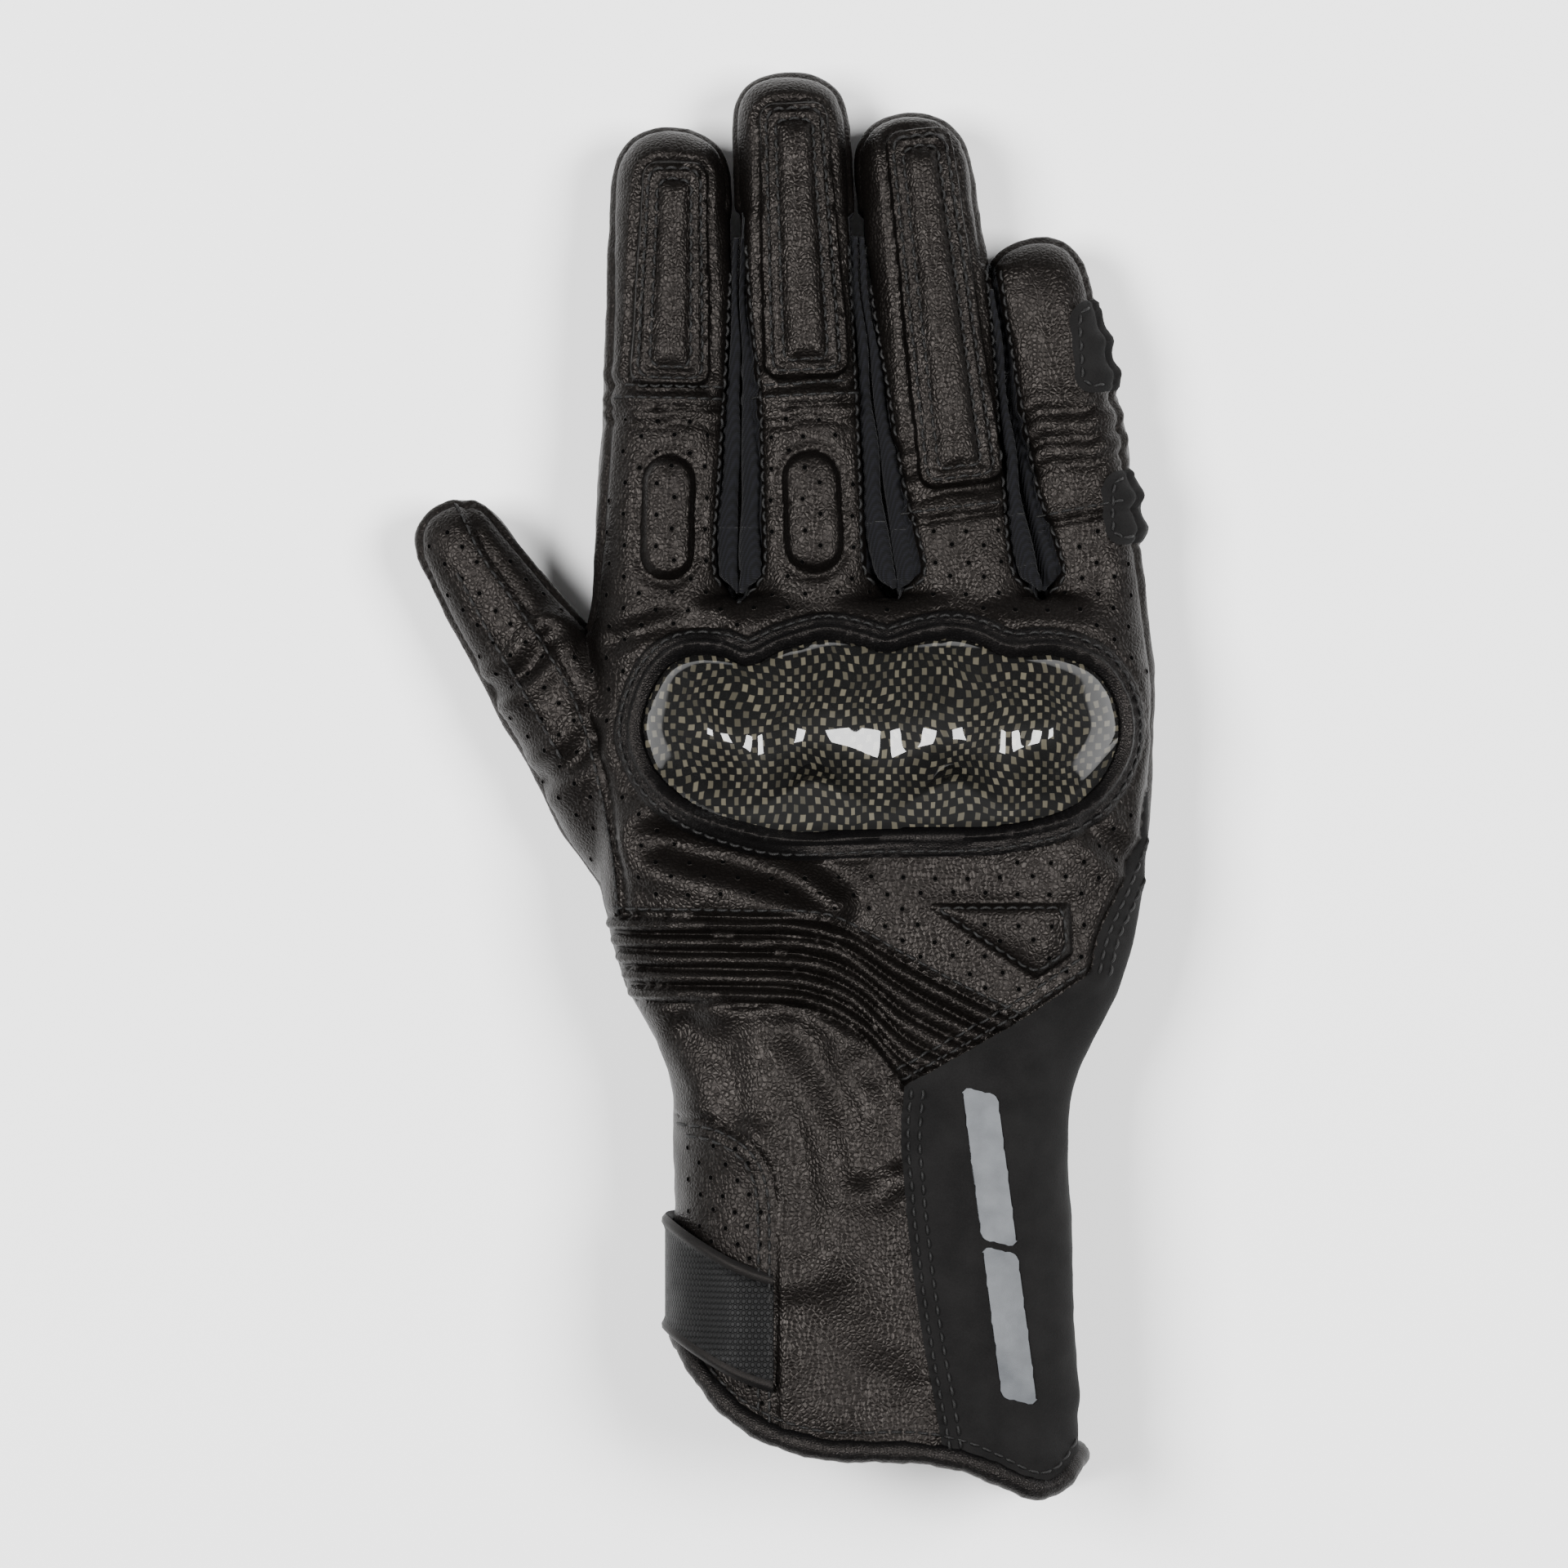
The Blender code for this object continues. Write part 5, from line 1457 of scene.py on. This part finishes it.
def make_rolls(looks):
    """The rolled edges of stretch textile between the fingers, which meet in a loop at each crotch."""
    pile = Pile()
    sides = {"index": ("index", "middle"), "middle": ("middle", "ring"), "ring": ("ring", "little")}
    for gap, rows in GAPS.items():
        rows = np.array(rows)
        end = SIDE_END[gap]
        for column, (name, sign) in enumerate(zip(sides[gap], (1, -1)), 1):
            path, radii = [], []
            for y in np.arange(rows[0, 0] + 0.6, end - 4, 0.6):
                edge = np.interp(y, rows[:, 0], rows[:, column])
                other = np.interp(y, rows[:, 0], rows[:, 3 - column])
                middle = (edge + other) / 2
                width = max(abs(other - edge) / 2, 0.9)
                grow = min((y - rows[0, 0]) / 4.0, 1.0)
                radius = min(width * 0.56, 1.9) * (0.75 + 0.25 * grow)
                x = middle - sign * (radius + 0.12) * grow ** 0.5
                loft = DIGITS[name]
                s = loft.local(np.array([[x, y]]))[0][0]
                high = loft.values(s)[3]
                depth = 3.6 + 1.6 * smooth(np.array(y), rows[0, 0], 60)
                path.append((x + 0.2 * math.sin(y * 0.31 + column), y,
                             high - float(depth) + 0.3 * math.sin(y * 0.23)))
                radii.append(radius * (1 + 0.1 * math.sin(y * 0.37 + column * 2)))
            cut = {True: [], False: []}
            for point, radius in zip(path, radii):
                s = DIGITS[name].local(np.array([point[:2]]))[0][0]
                zone, _, stop = BEND_ZONES[name]
                part = "hand" if s < zone[0] else f"{name}_base" if s <= stop else f"{name}_tip"
                cut.setdefault(part, []).append((point, radius))
            order = [part for part in ("hand", f"{name}_base", f"{name}_tip") if cut.get(part)]
            for part, following in zip(order, order[1:] + [None]):
                stretch = list(cut[part])
                if following:
                    stretch.append(cut[following][0])
                if len(stretch) > 1:
                    points, faces = tube([q[0] for q in stretch], [q[1] for q in stretch], 12)
                    pile.add(part, points, faces)
    for piece in pile.make("textile_roll", [looks["stretch_textile"]]):
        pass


STRAP_WIDTH = 20.6


def make_strap(looks):
    """The moulded strap in one piece, from the back of the cuff round its edge and along its palm side."""
    section = []
    for a in np.linspace(math.radians(113.5), math.radians(206), 64):
        offset, half, low, high = HAND.values(-84.0)
        power = 2 / (HAND.crown if math.sin(a) > 0 else HAND.belly)
        lift = 0.9 + 1.3 * float(smooth(np.array(math.degrees(a)), 114, 130))
        x = offset + (half + lift) * math.copysign(abs(math.cos(a)) ** power, math.cos(a))
        z = (low + high) / 2 + ((high - low) / 2 + lift) * math.copysign(abs(math.sin(a)) ** power,
                                                                         math.sin(a))
        section.append((x, z))
    section = [q for q in section if q[0] < -16.9 or q[1] < 20]
    corner = section[-1]
    section += [(corner[0] + 1.4, 3.4), (corner[0] + 3.6, 1.3), (corner[0] + 6.5, 0.35), (-20, 0.3),
                (0, 0.3), (14.5, 0.3)]
    section = resample(curve_through(section, 1.0), 0.9)
    length = np.concatenate([[0], np.cumsum(np.linalg.norm(np.diff(section, axis=0), axis=1))])
    wrap = smooth(length, -4, 27)
    flat = np.maximum(section[:, 0] + 30, 0) * (section[:, 1] < 4) * 0.16
    total = length[-1]
    acrosses = np.linspace(-STRAP_WIDTH / 2, STRAP_WIDTH / 2, 31)
    points, rails = [], []
    for i, (x, z) in enumerate(section):
        middle = -89.6 + 10.0 * wrap[i] + flat[i]
        narrow = 1.0 - 0.5 * max(0.0, (length[i] - total + 5.0) / 5.0) ** 3
        for w in acrosses:
            points.append((x, middle + w * narrow, z))
            rails.append(0.75 * smooth(np.array(abs(w)), 7.9, 8.7) - 0.9
                         * smooth(np.array(abs(w)), 9.4, 10.3))
    columns = len(acrosses)
    faces = []
    for i in range(len(section) - 1):
        for j in range(columns - 1):
            k = i * columns + j
            faces += [(k, k + columns, k + columns + 1), (k, k + columns + 1, k + 1)]
    sheet = Surface(np.array(points), np.array(faces))
    sheet.up = sheet.normals()
    if sheet.up[len(section) // 8 * columns + columns // 2][2] < 0:
        sheet.faces = sheet.faces[:, ::-1]
        sheet.up = -sheet.up
    sheet.points = sheet.points + sheet.up * np.array(rails)[:, None] * 0.8
    sheet.points[:, 2] = np.maximum(sheet.points[:, 2], 0.06)
    sheet.up = sheet.normals()
    piece = shell_piece("wrist_strap", sheet, sheet.normals(), np.ones(len(sheet.faces), bool),
                        looks["strap_rubber"],
                        looks["strap_rubber"], 1.7)
    piece.data.materials.append(looks["strap_rail"])
    on_rail = np.repeat(np.abs(acrosses[:-1] + acrosses[1:]) / 2 > 8.2, 2)
    marks = np.full(len(piece.data.polygons), 2)
    marks[:2 * len(sheet.faces)] = np.tile(on_rail * 2, 2 * (len(section) - 1))
    piece.data.polygons.foreach_set("material_index", marks)
    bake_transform(piece)
    for name, body, low, x_to in (("hook_patch_nap", "strap", 2.15, 12.0),
                                  ("loop_patch_nap", "cuff", 3.35, 16.0)):
        distance = lambda p, x_to=x_to: rounded_box(p[:, 0] - (x_to - 22) / 2,
                                                    p[:, 1] + 79.6 - 0.16 * (p[:, 0] + 30),
                                                    (x_to + 22) / 2, 7.6, 2.0)
        patch = flat_sheet(((-24, -92), (18, -62)), 1.0, distance)
        patch.points[:, 2] = low + 0.75 + 0.08 * noise_at(patch.points * 1.0, 0.9, 9)
        chosen = np.ones(len(patch.faces), bool)
        thing = shell_piece(name, patch, patch.normals(), chosen, looks["hook_and_loop"],
                            looks["hook_and_loop"], 0.7)
        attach(thing, body)


# ---------------------------------------------------------------- camera, light and floor

def make_stage():
    """A white floor, a pale sky and soft boxes above, and the camera straight above the glove."""
    floor = bpy.data.meshes.new("floor")
    size = 6.0
    floor.from_pydata([(-size, -size, 0), (size, -size, 0), (size, size, 0), (-size, size, 0)], [],
                      [(0, 1, 2, 3)])
    thing = bpy.data.objects.new("floor", floor)
    bpy.context.scene.collection.objects.link(thing)
    paper = Nodes("paper", roughness=0.9, specular_ior_level=0.1)
    floor.materials.append(paper.finish(paper.mix(paper.noise(900.0), (0.93, 0.93, 0.93),
                                                  (0.96, 0.96, 0.96))))
    world = bpy.data.worlds.new("studio")
    bpy.context.scene.world = world
    world.use_nodes = True
    world.node_tree.nodes["Background"].inputs["Color"].default_value = (1.0, 1.0, 1.0, 1.0)
    world.node_tree.nodes["Background"].inputs["Strength"].default_value = 0.16
    for name, place, power, width in (("left", (-0.76, 0.12, 1.27), 46.0, 0.56),
                                      ("right", (0.76, 0.12, 1.27), 42.0, 0.56)):
        light = bpy.data.lights.new(name, "AREA")
        light.energy, light.size = power, width
        lamp = bpy.data.objects.new(name, light)
        lamp.location = place
        lamp.rotation_euler = (-Vector(place)).to_track_quat("-Z", "Y").to_euler()
        bpy.context.scene.collection.objects.link(lamp)
    camera = bpy.data.cameras.new("camera")
    camera.sensor_width = 36.0
    camera.lens = 36.0 * 1.5 / 0.2752
    camera.clip_end = 20.0
    eye = bpy.data.objects.new("camera", camera)
    eye.location = (-0.01505, 0.00573, 1.518)
    bpy.context.scene.collection.objects.link(eye)
    bpy.context.scene.camera = eye


def main():
    make_stage()
    looks = make_materials()
    surface = whole_body()
    cut_seams(surface)
    names = panels_of(surface)
    domains = domain_of(surface.centres()[:, :2])
    tidy_names(names, domains, surface.up[surface.faces][:, :, 2].mean(axis=1))
    shape_relief(surface, panel_of_points(surface, names))
    make_panels(surface, names, domains, looks)
    skin = Skin(surface, names, domains)
    make_stitching(skin, looks)
    make_perforations(skin, looks)
    make_guard(looks)
    make_binding(looks)
    make_reflective_bars(skin, looks)
    make_rolls(looks)
    make_strap(looks)
    for name, nodes in STANDS_FOR.items():
        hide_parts(*nodes)


main()
